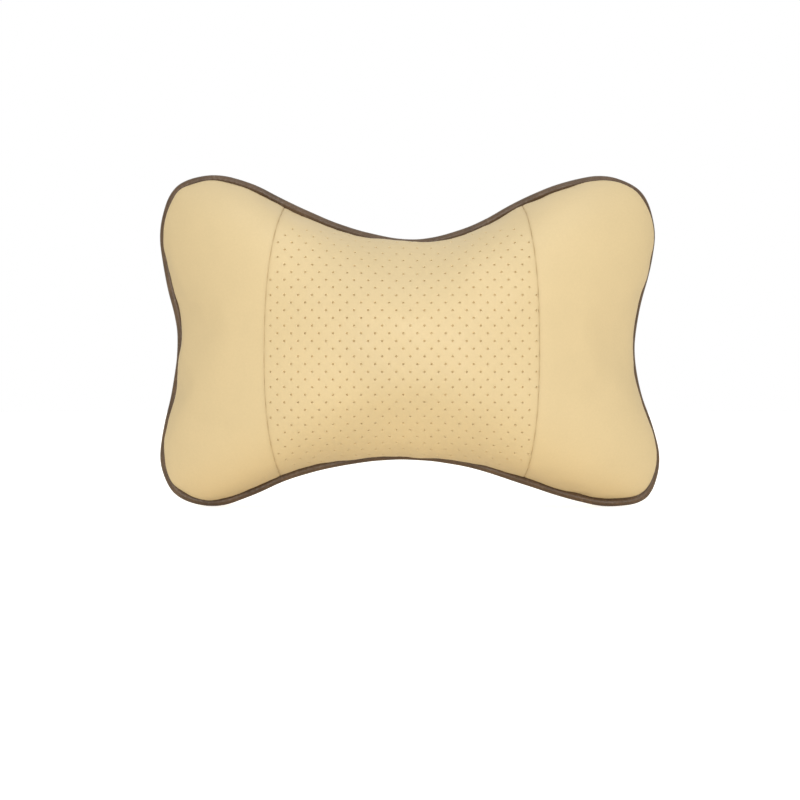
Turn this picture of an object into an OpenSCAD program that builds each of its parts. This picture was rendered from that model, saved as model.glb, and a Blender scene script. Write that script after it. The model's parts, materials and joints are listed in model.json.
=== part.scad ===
// Headrest neck pillow: a bone-shaped stuffed cushion in leatherette, with a perforated centre
// panel, a piped edge, a zip across the back and an elastic band that goes round a headrest.
//
// Frame: +X to the right seen from the front, +Z up, the front faces -Y.
// The origin is the centre of the band's flat outer face, at the middle of the back.
// "Height" below means the distance from the seam plane, measured along Y.

/* [Pillow] */
// Width across the lower lobes
pillow_w = 270; // [262:1:285]
// Height from the lower lobes to the upper lobes
pillow_h = 179; // [174:1:190]
// Height of the front crown above the seam plane
front_crown = 50; // [46:1:54]
// Height of the flattened back crown above the seam plane
back_crown = 44; // [44:0.5:46]
// Exponent of the crown's section; a larger value is fuller near the seam
fullness = 2.2; // [2:0.1:2.5]

/* [Cover] */
// Thickness of the leatherette
skin_t = 1.2; // [0.8:0.1:1.2]
// Thickness of the sponge laminated behind the leatherette
sponge_t = 3; // [2:0.5:3]
// Distance of the left panel seam from the middle, at mid height
left_seam_x = 76.5; // [70:0.5:80]
// Distance of the right panel seam from the middle, at mid height
right_seam_x = 67.5; // [64:0.5:76]

/* [Piping] */
// Radius of the piping's bead
bead_r = 2.2; // [2:0.1:2.4]
// Radius of the cord inside the bead
cord_r = 1.5; // [1.2:0.1:1.5]
// Depth of the piping's sewing flange, behind the bead
flange_depth = 8; // [6:0.5:8]

/* [Zip] */
// Level of the zip on the back
zip_z = -30; // [-31:0.5:-29]
// Half length of the row of teeth
zip_half = 63; // [58:1:64]
// Height of the cover's surface along the zip
zip_height = 39.5; // [39:0.1:40]
// Half width of the slot between the cover's edges
slot_half = 5; // [4.8:0.1:5.5]
// Distance between neighbouring teeth of one row
tooth_pitch = 2.8; // [2.6:0.1:3.2]

/* [Band] */
// Width of the elastic band
band_w = 25; // [20:1:26]
// Thickness of the elastic band
band_t = 1.6; // [1.2:0.1:1.8]

/* [Hidden] */

LEATHERETTE = "#EBD3A1";
BROWN = "#6B4F38";
SPONGE = "#F2E9C9";
BAG = "#F4F4F0";
FIBRE = "#FBFBF8";
TAPE = "#7A5C42";
METAL = "#B9A27C";
BAND_CLOTH = "#2E2A28";
THREAD = "#D9BE8A";

// The outer edge of the piping as [x, z], anticlockwise from the lower right corner.
OUTLINE = [
    [127.5, -85], [134.8, -66], [131, -45.5], [125.4, -30], [121.3, -4],
    [124, 17], [130, 40], [132.2, 60], [124.5, 81], [107, 89],
    [84, 86], [60, 76.6], [32, 62], [3, 55], [-28, 60],
    [-66.5, 75.6], [-86, 85.2], [-107, 89.8], [-126.5, 83.5], [-135, 62],
    [-132.5, 35], [-126, 5], [-129.5, -30], [-134, -50], [-135, -66],
    [-127.5, -82.5], [-107, -89.3], [-84, -82.9], [-69, -76.2], [-34, -67],
    [-2, -64.2], [30, -68], [61, -77.5], [86, -85.4], [107, -89.3]
];
OUTLINE_W = 270;
OUTLINE_H = 179;
// Places in OUTLINE of the corners, the panel seams' ends and the ends of the zip's line.
LOWER_RIGHT = 0;
ZIP_RIGHT = 3;
UPPER_RIGHT = 8;
SEAM_RIGHT_TOP = 11;
SEAM_LEFT_TOP = 15;
UPPER_LEFT = 18;
ZIP_LEFT = 22;
LOWER_LEFT = 25;
SEAM_LEFT_BOTTOM = 28;
SEAM_RIGHT_BOTTOM = 32;
LOOP_END = len(OUTLINE);                // LOWER_RIGHT again, once round

FRONT = -1;
BACK = 1;
STEPS = 3;                              // samples from one outline point to the next
flat_share = 0.965;                     // the back's crown is flat above this share of its height
seam_gap = 0.6;                         // from the seam plane to each half of the cover
band_gap = 0.4;                         // between the cover and the band
seam_y = -(seam_gap + back_crown + band_gap + band_t);
fit = 0.1;                              // gap between neighbouring layers

// Layers, each as [distance in from the outline, distance below the cover's surface].
skin_outside = [2 * bead_r + 4 * fit, 0];
skin_inside = skin_outside + [skin_t, skin_t];
sponge_outside = skin_inside + [fit, fit];
sponge_inside = sponge_outside + [sponge_t, sponge_t];
bag_t = 0.5;
bag_depth = 10.5;                       // deep enough to stay behind the zip's slider
bag_outside = [bead_r + flange_depth + bead_r + 1.2, bag_depth];
bag_inside = bag_outside + [bag_t, bag_t];
fill_outside = bag_inside + [fit, fit];

// ---- The edge curve ----

function wrapped(i) = (i % LOOP_END + LOOP_END) % LOOP_END;
function knot(i) =
    let (p = OUTLINE[wrapped(i)])
    [p[0] * pillow_w / OUTLINE_W, p[1] * pillow_h / OUTLINE_H];
function heading(i) =
    let (a = knot(i) - knot(i - 1), b = knot(i + 1) - knot(i))
    (a / norm(a) * norm(b) + b / norm(b) * norm(a)) / (norm(a) + norm(b));
function between(i, t) =
    let (p = knot(i), q = knot(i + 1), d = norm(q - p))
    (2 * t^3 - 3 * t^2 + 1) * p + (t^3 - 2 * t^2 + t) * d * heading(i)
    + (3 * t^2 - 2 * t^3) * q + (t^3 - t^2) * d * heading(i + 1);

// A place on the edge, counted in outline points, and the same place moved in by inset.
function edge_at(t) = between(floor(t), t - floor(t));
function outward_at(t) =
    let (d = edge_at(t + 0.05) - edge_at(t - 0.05))
    [d[1], -d[0]] / norm(d);
function rim(t, inset) = edge_at(t) - inset * outward_at(t);

// Polar form of the edge moved in by inset: [angle, radius], with angles rising through the list.
first_angle = atan2(OUTLINE[0][1], OUTLINE[0][0]) - 1;
function turned(angle) = angle - 360 * floor((angle - first_angle) / 360);
function polar_edge(inset) =
    let (places = [for (i = [0:LOOP_END * STEPS - 1]) rim(i / STEPS, inset)],
         all = [for (p = places) [turned(atan2(p[1], p[0])), norm(p)]],
         last = all[len(all) - 1])
    concat([[last[0] - 360, last[1]]], all, [[all[0][0] + 360, all[0][1]]]);
function radius(table, angle) = lookup(turned(angle), table);
SKIN_EDGE = polar_edge(skin_outside[0]);

// ---- The crowned surface ----

// Share of the crown's height at share s of the way from the middle to an edge at radius r.
slim_r = 60;
long_r = 150;
corner_taper = 0.16;
function crown(s, r) =
    let (lobe = max(0, min(1, (r - slim_r) / (long_r - slim_r))))
    s >= 1 ? 0 : pow(1 - pow(s, fullness), 0.5 + corner_taper * lobe^2);
function back_share(share) = min(share, flat_share) / flat_share;
function smooth(t) = let (u = max(0, min(1, t))) u * u * (3 - 2 * u);

// The back's cover is level along the zip, so that the slider runs straight. The level area
// ends at level_end to each side and at level_reach above and below, with a soft margin.
level_end = 96;
level_end_soft = 22;
level_reach = 20;
level_reach_soft = 14;
function zip_weight(depth, x, z) =
    depth > sponge_inside[1]
        ? 0
        : smooth((level_end - abs(x)) / level_end_soft)
          * smooth((level_reach - abs(z - zip_z)) / level_reach_soft);
function height(side, depth, s, r, x, z) =
    side == FRONT
        ? (front_crown - depth) * crown(s, r)
        : let (h = (back_crown - depth) * back_share(crown(s, r)))
          h + (zip_height - depth - h) * zip_weight(depth, x, z);

// The surface of one layer over the place p; table is that layer's edge.
function surface_y(p, side, depth, table) =
    let (r = radius(table, atan2(p[1], p[0])))
    seam_y + side * (seam_gap + height(side, depth, norm(p) / r, r, p[0], p[1]));
function back_y(depth, x, z) = surface_y([x, z], BACK, depth, SKIN_EDGE);
function rim_y(side) = seam_y + side * seam_gap;
// Keeps an inner point a little way in from the rim, where the surface stands upright.
inner_share = 0.985;
function held_in(p, table) =
    let (s = norm(p) / radius(table, atan2(p[1], p[0])))
    s > inner_share ? p * inner_share / s : p;

// ---- Patches: four-sided pieces of the surface ----

// Shares from 0 to 1, evenly spaced or closer together towards the crown's steep rim.
function even(n) = [for (k = [0:n]) k / n];
function dense_start(n) = [for (k = [0:n]) 1 - cos(90 * k / n)];
function dense_end(n) = [for (k = [0:n]) sin(90 * k / n)];
function dense_both(n) = [for (k = [0:n]) (1 - cos(180 * k / n)) / 2];

// A stretch of the rim from outline place a to b, sampled at the given shares.
function rim_arc(a, b, shares, inset) = [for (t = shares) rim(a + (b - a) * t, inset)];

// A point of the patch between four sides: bottom, top, left and right.
function patch_point(sides, us, vs, i, j) =
    let (bottom = sides[0], top = sides[1], left = sides[2], right = sides[3],
         u = us[i], v = vs[j], nu = len(us) - 1)
    (1 - v) * bottom[i] + v * top[i] + (1 - u) * left[j] + u * right[j]
    - (1 - u) * (1 - v) * bottom[0] - u * (1 - v) * bottom[nu]
    - (1 - u) * v * top[0] - u * v * top[nu];

function flipped(faces) = [for (f = faces) [f[2], f[1], f[0]]];
function shifted(faces, n) = [for (f = faces) [f[0] + n, f[1] + n, f[2] + n]];
// Triangles of a grid with nu by nv cells, and those of the same grid n points further on
// and of the walls between the two.
function grid_faces(nu, nv) =
    [for (j = [0:nv - 1], i = [0:nu - 1], half = [0, 1])
        let (a = j * (nu + 1) + i, d = a + nu + 1)
        half == 0 ? [a, a + 1, d + 1] : [a, d + 1, d]];
function grid_rim(nu, nv) =
    concat([for (i = [0:nu]) i], [for (j = [1:nv]) j * (nu + 1) + nu],
           [for (i = [nu - 1:-1:0]) nv * (nu + 1) + i],
           [for (j = [nv - 1:-1:1]) j * (nu + 1)]);
function wall_faces(rim_list, n) =
    let (m = len(rim_list))
    [for (k = [0:m - 1], half = [0, 1])
        let (a = rim_list[k], b = rim_list[(k + 1) % m])
        half == 0 ? [b, a, a + n] : [b, a + n, b + n]];
function slab_faces(nu, nv) =
    let (n = (nu + 1) * (nv + 1), skin = grid_faces(nu, nv))
    concat(wall_faces(grid_rim(nu, nv), n), skin, shifted(flipped(skin), n));

// One panel from one layer down to another. patch is [us, vs, on_rim, sides]: the shares at
// which its points lie, which of its four sides lie on the rim, and the sides at an inset.
// rows is the first and last row of points to keep.
module patch_shell(patch, side, outside, inside, rows = undef) {
    us = patch[0];
    vs = patch[1];
    on_rim = patch[2];
    nu = len(us) - 1;
    nv = len(vs) - 1;
    kept = is_undef(rows) ? [0, nv] : rows;
    function layer_points(layer) =
        let (sides = patch[3](layer[0]), table = polar_edge(layer[0]))
        [for (j = [kept[0]:kept[1]], i = [0:nu])
            let (at_rim = (j == 0 && on_rim[0]) || (j == nv && on_rim[1])
                          || (i == 0 && on_rim[2]) || (i == nu && on_rim[3]),
                 raw = patch_point(sides, us, vs, i, j),
                 p = at_rim ? raw : held_in(raw, table))
            [p[0], at_rim ? rim_y(side) : surface_y(p, side, layer[1], table), p[1]]];
    faces = slab_faces(nu, kept[1] - kept[0]);
    polyhedron(concat(layer_points(outside), layer_points(inside)),
               side == BACK ? faces : flipped(faces));
}

// ---- The panels' cutting lines ----

SIDE_U = dense_start(9);
SIDE_U_RIGHT = dense_end(9);
FRONT_V = dense_both(14);
CENTRE_U = even(14);
BACK_U = dense_both(22);
slit_row_above = 0.06;                  // an extra row of points close beside the zip
slit_row_below = 0.9;
UPPER_CELLS = dense_end(13);
LOWER_CELLS = dense_start(8);
UPPER_V = concat([0, slit_row_above], [for (k = [1:13]) UPPER_CELLS[k]]);
LOWER_V = concat([for (k = [0:7]) LOWER_CELLS[k]], [slit_row_below, 1]);

// A panel seam on the front, bowed out to mid_x half way up.
function seam_line(bottom, top, mid_x, inset) =
    let (b = rim(bottom, inset), t = rim(top, inset), bow = mid_x - (b[0] + t[0]) / 2)
    [for (v = FRONT_V) (1 - v) * b + v * t + [bow * 4 * v * (1 - v), 0]];

// The line that parts the back panels, opened by slot on its own side over the zip. It runs
// level as far as cut_end less cut_soft, and from cut_end on it leads to its place on the edge.
slot_end = zip_half + 11;
slot_soft = 6;
cut_end = 120;
cut_soft = 24;
function slot_at(x, slot) = slot * smooth((slot_end - abs(x)) / slot_soft);
function cut_line(slot, inset) =
    let (l = rim(ZIP_LEFT, inset), r = rim(ZIP_RIGHT, inset))
    [for (u = BACK_U)
        let (x = l[0] + (r[0] - l[0]) * u, edge_z = (1 - u) * l[1] + u * r[1],
             level = smooth((cut_end - abs(x)) / cut_soft))
        [x, level * (zip_z + slot_at(x, slot)) + (1 - level) * edge_z]];

LEFT_PATCH = [SIDE_U, FRONT_V, [true, true, true, false], function (inset) [
    rim_arc(LOWER_LEFT, SEAM_LEFT_BOTTOM, SIDE_U, inset),
    rim_arc(UPPER_LEFT, SEAM_LEFT_TOP, SIDE_U, inset),
    rim_arc(LOWER_LEFT, UPPER_LEFT, FRONT_V, inset),
    seam_line(SEAM_LEFT_BOTTOM, SEAM_LEFT_TOP, -left_seam_x, inset)]];
CENTRE_PATCH = [CENTRE_U, FRONT_V, [true, true, false, false], function (inset) [
    rim_arc(SEAM_LEFT_BOTTOM, SEAM_RIGHT_BOTTOM, CENTRE_U, inset),
    rim_arc(SEAM_LEFT_TOP, SEAM_RIGHT_TOP, CENTRE_U, inset),
    seam_line(SEAM_LEFT_BOTTOM, SEAM_LEFT_TOP, -left_seam_x, inset),
    seam_line(SEAM_RIGHT_BOTTOM, SEAM_RIGHT_TOP, right_seam_x, inset)]];
RIGHT_PATCH = [SIDE_U_RIGHT, FRONT_V, [true, true, false, true], function (inset) [
    rim_arc(SEAM_RIGHT_BOTTOM, LOOP_END, SIDE_U_RIGHT, inset),
    rim_arc(SEAM_RIGHT_TOP, UPPER_RIGHT, SIDE_U_RIGHT, inset),
    seam_line(SEAM_RIGHT_BOTTOM, SEAM_RIGHT_TOP, right_seam_x, inset),
    rim_arc(LOWER_RIGHT, UPPER_RIGHT, FRONT_V, inset)]];

UPPER_PATCH = [BACK_U, UPPER_V, [false, true, true, true], function (inset) [
    cut_line(slot_half, inset),
    rim_arc(UPPER_LEFT, UPPER_RIGHT, BACK_U, inset),
    rim_arc(ZIP_LEFT, UPPER_LEFT, UPPER_V, inset),
    rim_arc(ZIP_RIGHT, UPPER_RIGHT, UPPER_V, inset)]];
LOWER_PATCH = [BACK_U, LOWER_V, [true, false, true, true], function (inset) [
    rim_arc(LOWER_LEFT, LOOP_END, BACK_U, inset),
    cut_line(-slot_half, inset),
    rim_arc(LOWER_LEFT, ZIP_LEFT, LOWER_V, inset),
    rim_arc(LOWER_RIGHT, ZIP_RIGHT, LOWER_V, inset)]];

// ---- Cover ----

module front_left_panel() {
    color(LEATHERETTE) patch_shell(LEFT_PATCH, FRONT, skin_outside, skin_inside);
}

module front_centre_panel() {
    color(LEATHERETTE) patch_shell(CENTRE_PATCH, FRONT, skin_outside, skin_inside);
}

module front_right_panel() {
    color(LEATHERETTE) patch_shell(RIGHT_PATCH, FRONT, skin_outside, skin_inside);
}

module back_upper_panel() {
    color(LEATHERETTE) patch_shell(UPPER_PATCH, BACK, skin_outside, skin_inside);
}

module back_lower_panel() {
    color(LEATHERETTE) patch_shell(LOWER_PATCH, BACK, skin_outside, skin_inside);
}

// ---- Sponge behind the leatherette ----

module front_left_sponge() {
    color(SPONGE) patch_shell(LEFT_PATCH, FRONT, sponge_outside, sponge_inside);
}

module front_centre_sponge() {
    color(SPONGE) patch_shell(CENTRE_PATCH, FRONT, sponge_outside, sponge_inside);
}

module front_right_sponge() {
    color(SPONGE) patch_shell(RIGHT_PATCH, FRONT, sponge_outside, sponge_inside);
}

// The back's sponge stops some rows short of the zip, which leaves room for the tapes.
module back_upper_sponge() {
    rows = [2, len(UPPER_V) - 1];
    color(SPONGE) patch_shell(UPPER_PATCH, BACK, sponge_outside, sponge_inside, rows);
}

module back_lower_sponge() {
    rows = [0, len(LOWER_V) - 4];
    color(SPONGE) patch_shell(LOWER_PATCH, BACK, sponge_outside, sponge_inside, rows);
}

// ---- Piping ----

// Sweeps a section, as [outward, along Y] points, round the whole edge.
module edge_sweep(section) {
    m = len(section);
    count = LOOP_END * STEPS;
    points = [for (i = [0:count - 1], q = section)
        let (c = rim(i / STEPS, bead_r - q[0]))
        [c[0], seam_y + q[1], c[1]]];
    faces = [for (i = [0:count - 1], k = [0:m - 1], half = [0, 1])
        let (a = i * m + k, b = i * m + (k + 1) % m,
             c = (i + 1) % count * m + k, d = (i + 1) % count * m + (k + 1) % m)
        half == 0 ? [d, b, a] : [c, d, a]];
    polyhedron(points, faces);
}

// The strip is folded round the cord, and its two legs lie together as the flange.
leg_t = 0.45;
slit = 0.05;
bead_points = 9;
hole_points = 7;
module piping_strip() {
    reach = bead_r + flange_depth;
    around = 360 / (bead_points + 1);
    inside = 360 / (hole_points + 1);
    hole_r = cord_r + fit / 2;
    section = concat(
        [[-reach, -leg_t - slit], [-bead_r, -leg_t - slit]],
        [for (k = [1:bead_points]) bead_r * on_circle(-180 + k * around)],
        [[-bead_r, leg_t + slit], [-reach, leg_t + slit], [-reach, slit], [-hole_r, slit]],
        [for (k = [hole_points:-1:1]) hole_r * on_circle(-180 + k * inside)],
        [[-hole_r, -slit], [-reach, -slit]]);
    color(BROWN) edge_sweep(section);
}

module piping_cord() {
    sides = hole_points + 1;
    color(FIBRE) edge_sweep([for (k = [0:sides - 1]) cord_r * on_circle(k * 360 / sides)]);
}

// ---- Inner bag and filling ----

RINGS = dense_end(8);
SPOKES = 40;
function on_circle(angle) = [cos(angle), sin(angle)];
function round_points(side, layer) =
    let (table = polar_edge(layer[0]), middle = surface_y([0, 0], side, layer[1], table))
    concat([[0, middle, 0]],
           [for (k = [1:len(RINGS) - 1], i = [0:SPOKES - 1])
               let (a = 360 * i / SPOKES, p = RINGS[k] * radius(table, a) * on_circle(a),
                    y = k == len(RINGS) - 1 ? rim_y(side) : surface_y(p, side, layer[1], table))
               [p[0], y, p[1]]]);
function ring_at(k, i) = 1 + (k - 1) * SPOKES + i % SPOKES;
OUTER_RING = [for (i = [0:SPOKES - 1]) ring_at(len(RINGS) - 1, i)];
ROUND_FACES = concat(
    [for (i = [0:SPOKES - 1]) [0, ring_at(1, i), ring_at(1, i + 1)]],
    [for (k = [1:len(RINGS) - 2], i = [0:SPOKES - 1], half = [0, 1])
        half == 0 ? [ring_at(k, i), ring_at(k + 1, i), ring_at(k + 1, i + 1)]
                  : [ring_at(k, i), ring_at(k + 1, i + 1), ring_at(k, i + 1)]]);
round_count = ring_at(len(RINGS) - 1, SPOKES - 1) + 1;
SHELL_FACES = concat(ROUND_FACES, shifted(flipped(ROUND_FACES), round_count),
                     wall_faces(OUTER_RING, round_count));

module bag_half(side) {
    polyhedron(concat(round_points(side, bag_outside), round_points(side, bag_inside)),
               side == BACK ? SHELL_FACES : flipped(SHELL_FACES));
}

module inner_bag_front() {
    color(BAG) bag_half(FRONT);
}

module inner_bag_back() {
    color(BAG) bag_half(BACK);
}

module fibre_fill() {
    color(FIBRE)
        polyhedron(concat(round_points(BACK, fill_outside), round_points(FRONT, fill_outside)),
                   SHELL_FACES);
}

// ---- Zip ----

tape_t = 0.6;
tape_depth = 2.1;                       // the tape's middle, below the cover's surface
tape_w = 12;                            // from the zip's middle to the tape's far edge
tape_inner = 1.6;                       // from the zip's middle to the tape's near edge
tape_end = zip_half + 8;
chain_y = seam_y + seam_gap + zip_height - tape_depth;
tooth_h = 2.2;
tooth_w = 1.1;
tooth_root = 3;                         // where a tooth ends on its tape, from the middle
tooth_cross = 0.5;                      // how far a tooth's head passes the middle
stop_reach = 3.4;
slider_l = 11;
slider_w = 8.4;
slider_x = zip_half - 5;                // the slider's middle, with the zip closed
channel_h = 2.8;
plate_t = 1;
rail_t = 0.7;
rail_z = slider_w / 2 - 0.2 - rail_t / 2;
nose_x = slider_l / 2 - 2.4;            // the wedge that parts the teeth
pin_r = 0.55;
pin_bore_r = 0.6;
pin_rise = 1.2;                         // the pull tab's pin, above the top plate
pin_y = chain_y + channel_h / 2 + plate_t + pin_rise;
bridge_w = 1.6;
bridge_r = 1.3;
tab_t = 1;
tab_l = 24;
tab_w = 6.8;

module at_chain(x) {
    translate([x, chain_y, zip_z]) children();
}

module along_y(length) {
    rotate([90, 0, 0]) linear_extrude(length, center = true) children();
}

// A tape follows the underside of the cover; dir is 1 above the teeth and -1 below.
module zip_tape(dir) {
    nx = 26;
    nz = 5;
    function tape_points(depth) = [for (j = [0:nz], i = [0:nx])
        let (x = -tape_end + 2 * tape_end * i / nx,
             z = zip_z + dir * (tape_inner + (tape_w - tape_inner) * j / nz))
        [x, back_y(depth, x, z), z]];
    faces = slab_faces(nx, nz);
    color(TAPE)
        polyhedron(concat(tape_points(tape_depth - tape_t / 2), tape_points(tape_depth + tape_t / 2)),
                   dir == 1 ? faces : flipped(faces));
}

// A block on one tape, slotted where it grips the tape, from low to high above the middle.
module tape_clip(length, low, high) {
    slot_h = tape_t + 0.1;
    difference() {
        translate([-length / 2, -tooth_h / 2, low]) cube([length, tooth_h, high - low]);
        translate([-length, -slot_h / 2, tape_inner - 0.1]) cube([2 * length, slot_h, high]);
    }
}

// One row of moulded teeth, which ends inside the slider, behind its wedge.
module zip_teeth(dir) {
    first_x = -zip_half + (dir == 1 ? 0 : tooth_pitch / 2);
    color(BROWN)
        for (x = [first_x:tooth_pitch:slider_x])
            at_chain(x)
                mirror([0, 0, dir == 1 ? 0 : 1]) tape_clip(tooth_w, -tooth_cross, tooth_root);
}

// Two small clips, one on each tape, hold the slider at the closed end.
module zip_closed_end_stops() {
    color(METAL)
        for (flip = [0, 1])
            at_chain(slider_x + slider_l / 2 + 1.5)
                mirror([0, 0, flip]) tape_clip(2.2, tooth_cross, stop_reach);
}

// One box joins both tapes at the open end.
module zip_open_end_stop() {
    color(METAL)
        at_chain(-zip_half - 2.6)
            for (flip = [0, 1])
                mirror([0, 0, flip]) tape_clip(2.6, 0, stop_reach);
}

// Outline of the slider's plates: rounded, with a blunt nose.
module slider_outline() {
    r = 0.8;
    l = slider_l / 2 - r;
    w = slider_w / 2 - r;
    offset(r = r, $fn = 24)
        polygon([[-l, -w], [l - 1.6, -w], [l, -w + 1.4], [l, w - 1.4], [l - 1.6, w], [-l, w]]);
}

// Two plates joined by a wedge, with side rails and a bridge that carries the pull tab.
module zip_slider() {
    overlap = 0.1;                      // shared with the plates, so that the pieces join
    mid = (channel_h + plate_t) / 2;
    inner_h = channel_h + 2 * overlap;
    color(METAL)
        at_chain(slider_x) {
            for (dy = [-mid, mid])
                translate([0, dy, 0]) along_y(plate_t) slider_outline();
            translate([nose_x, 0, 0])
                along_y(inner_h) polygon([[-1.6, 0], [0.4, -0.9], [1.4, 0], [0.4, 0.9]]);
            for (dz = [-rail_z, rail_z])
                difference() {
                    translate([0, 0, dz]) cube([slider_l - 5, inner_h, rail_t], center = true);
                    translate([0, 0, dz]) cube([slider_l, 2 * tape_t, 2 * rail_t], center = true);
                }
            difference() {
                union() {
                    translate([0, pin_y - chain_y, 0])
                        cylinder(h = bridge_w, r = bridge_r, center = true, $fn = 48);
                    translate([0, pin_y - chain_y - pin_rise / 2 - overlap, 0])
                        cube([2 * bridge_r, pin_rise, bridge_w], center = true);
                }
                translate([0, pin_y - chain_y, 0])
                    cylinder(h = 2 * bridge_w, r = pin_bore_r, center = true, $fn = 48);
            }
        }
}

// The tab's cross pin runs through the bridge; at rest the tab lies back over the closed teeth.
module zip_pull_tab() {
    corner = 1;
    fork_half = bridge_w / 2 + 0.3;
    arm_half = fork_half + 1.2;
    wide = tab_w / 2 - corner;
    color(METAL)
        translate([slider_x, pin_y, zip_z]) {
            cylinder(h = 2 * arm_half, r = pin_r, center = true, $fn = 48);
            difference() {
                along_y(tab_t)
                    offset(r = corner, $fn = 32)
                        polygon([[corner - tab_l, -wide], [-6, -wide + 0.2], [-0.1, corner - arm_half],
                                 [-0.1, arm_half - corner], [-6, wide - 0.2], [corner - tab_l, wide]]);
                translate([-1.2, 0, 0]) cube([4.6, 2 * tab_t, 2 * fork_half], center = true);
                translate([4 - tab_l, 0, 0])
                    rotate([90, 0, 0]) cylinder(h = 2 * tab_t, r = 1.2, center = true, $fn = 48);
            }
        }
}

// A dashed row of thread along the cover's edge beside the zip.
module zip_stitching(dir) {
    thread_r = 0.3;
    stitch = 2.8;
    stitch_pitch = 3.8;
    row_z = zip_z + dir * (slot_half + 2.2);
    row_end = zip_half + 2;
    color(THREAD)
        for (x = [-row_end:stitch_pitch:row_end])
            translate([x, back_y(0, x, row_z) + thread_r + 0.5, row_z])
                rotate([0, 90, 0]) cylinder(h = stitch, r = thread_r, center = true, $fn = 24);
}

// ---- Headrest band ----

band_flat = 32;                         // half length of the flat stretch at the crown
BAND_SHARES = dense_end(14);
// The cover's farthest reach at one side, within the band's width.
function waist_x(side) =
    max([for (a = [-6:3:6]) radius(SKIN_EDGE, (side == 1 ? 0 : 180) + a) * cos(a)]);
function band_under(x) =
    max([for (k = [-2:2]) back_y(0, x, k * band_w / 4)]) + band_gap;
// A point of the band's inner face; the last one is where it enters the side seam.
function band_point(side, k) =
    let (reach = waist_x(side), x = side * (band_flat + (reach - band_flat) * BAND_SHARES[k]))
    k == len(BAND_SHARES) - 1
        ? [side * (reach + 2 * band_gap), seam_y + bead_r + 2 * band_gap]
        : [x, band_under(x)];
BAND = concat([for (k = [len(BAND_SHARES) - 1:-1:0]) band_point(-1, k)],
              [for (k = [0:len(BAND_SHARES) - 1]) band_point(1, k)]);
function band_normal(i) =
    let (last = len(BAND) - 1, d = BAND[min(i + 1, last)] - BAND[max(i - 1, 0)])
    abs(BAND[i][0]) <= band_flat ? [0, 1] : [-d[1], d[0]] / norm(d);

// A taut strip of one width, flat where it crosses the crown, sewn into both side seams.
module headrest_band() {
    color(BAND_CLOTH)
        linear_extrude(band_w, center = true)
            polygon(concat(BAND, [for (i = [len(BAND) - 1:-1:0]) BAND[i] + band_t * band_normal(i)]));
}

// ---- Nodes ----

front_left_panel();
front_centre_panel();
front_right_panel();
back_upper_panel();
back_lower_panel();
front_left_sponge();
front_centre_sponge();
front_right_sponge();
back_upper_sponge();
back_lower_sponge();
piping_strip();
piping_cord();
inner_bag_front();
inner_bag_back();
fibre_fill();
zip_tape(1);  // zip_tape_upper
zip_tape(-1);  // zip_tape_lower
zip_teeth(1);  // zip_teeth_upper
zip_teeth(-1);  // zip_teeth_lower
zip_closed_end_stops();
zip_open_end_stop();
zip_slider();
zip_pull_tab();
zip_stitching(1);  // zip_stitching_upper
zip_stitching(-1);  // zip_stitching_lower
headrest_band();
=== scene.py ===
"""Looks of the headrest neck pillow: leatherette cover, piping, zip and elastic band.

Frame: metres, +X to the right seen from the front, +Z up, and the front faces -Y.
The cover is worked out in a flat "domain": a copy of the pillow's plan, as wide and as high, in
which the steep edge of the crown is spread out. Seams, holes and fine meshes are drawn flat there
and then laid on the simulated surface. Flat points are [x, z] pairs.
"""
import json
import math

import bmesh
import bpy
import numpy as np
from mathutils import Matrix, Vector
from mathutils.bvhtree import BVHTree
from mathutils.geometry import delaunay_2d_cdt
from mathutils.kdtree import KDTree

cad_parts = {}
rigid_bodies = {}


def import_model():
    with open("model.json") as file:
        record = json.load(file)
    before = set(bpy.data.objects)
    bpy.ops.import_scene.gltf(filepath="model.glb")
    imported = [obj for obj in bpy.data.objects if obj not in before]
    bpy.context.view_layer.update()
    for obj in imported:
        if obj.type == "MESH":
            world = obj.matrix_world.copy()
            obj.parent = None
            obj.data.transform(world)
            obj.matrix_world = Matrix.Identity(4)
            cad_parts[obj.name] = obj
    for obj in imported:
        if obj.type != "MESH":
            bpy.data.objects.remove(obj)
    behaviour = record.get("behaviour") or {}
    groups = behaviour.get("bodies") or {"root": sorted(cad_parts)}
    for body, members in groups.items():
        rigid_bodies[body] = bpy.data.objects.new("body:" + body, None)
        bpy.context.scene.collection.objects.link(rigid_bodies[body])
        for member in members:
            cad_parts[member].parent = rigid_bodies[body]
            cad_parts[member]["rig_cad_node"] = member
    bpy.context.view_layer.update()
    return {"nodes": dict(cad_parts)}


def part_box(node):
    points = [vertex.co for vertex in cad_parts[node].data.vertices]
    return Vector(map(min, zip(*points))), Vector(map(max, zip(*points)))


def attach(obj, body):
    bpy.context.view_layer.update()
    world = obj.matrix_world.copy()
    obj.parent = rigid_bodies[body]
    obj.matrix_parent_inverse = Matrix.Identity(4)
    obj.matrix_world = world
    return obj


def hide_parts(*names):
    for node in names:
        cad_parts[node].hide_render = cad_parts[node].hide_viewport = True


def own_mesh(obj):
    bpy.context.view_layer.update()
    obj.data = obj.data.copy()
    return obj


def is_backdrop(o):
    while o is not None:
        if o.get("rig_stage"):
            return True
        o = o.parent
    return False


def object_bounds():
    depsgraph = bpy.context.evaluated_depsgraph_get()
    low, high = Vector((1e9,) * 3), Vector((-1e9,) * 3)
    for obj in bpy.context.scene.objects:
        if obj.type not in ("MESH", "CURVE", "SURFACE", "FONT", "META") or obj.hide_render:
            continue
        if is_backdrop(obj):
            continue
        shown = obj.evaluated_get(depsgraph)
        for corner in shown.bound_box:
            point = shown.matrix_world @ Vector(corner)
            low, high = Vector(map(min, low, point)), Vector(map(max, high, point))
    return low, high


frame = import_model()
MM = 0.001
FRONT = -1
BACK = 1
BODY = "cover"

# ---- Driving sizes, read from the CAD ----

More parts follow.
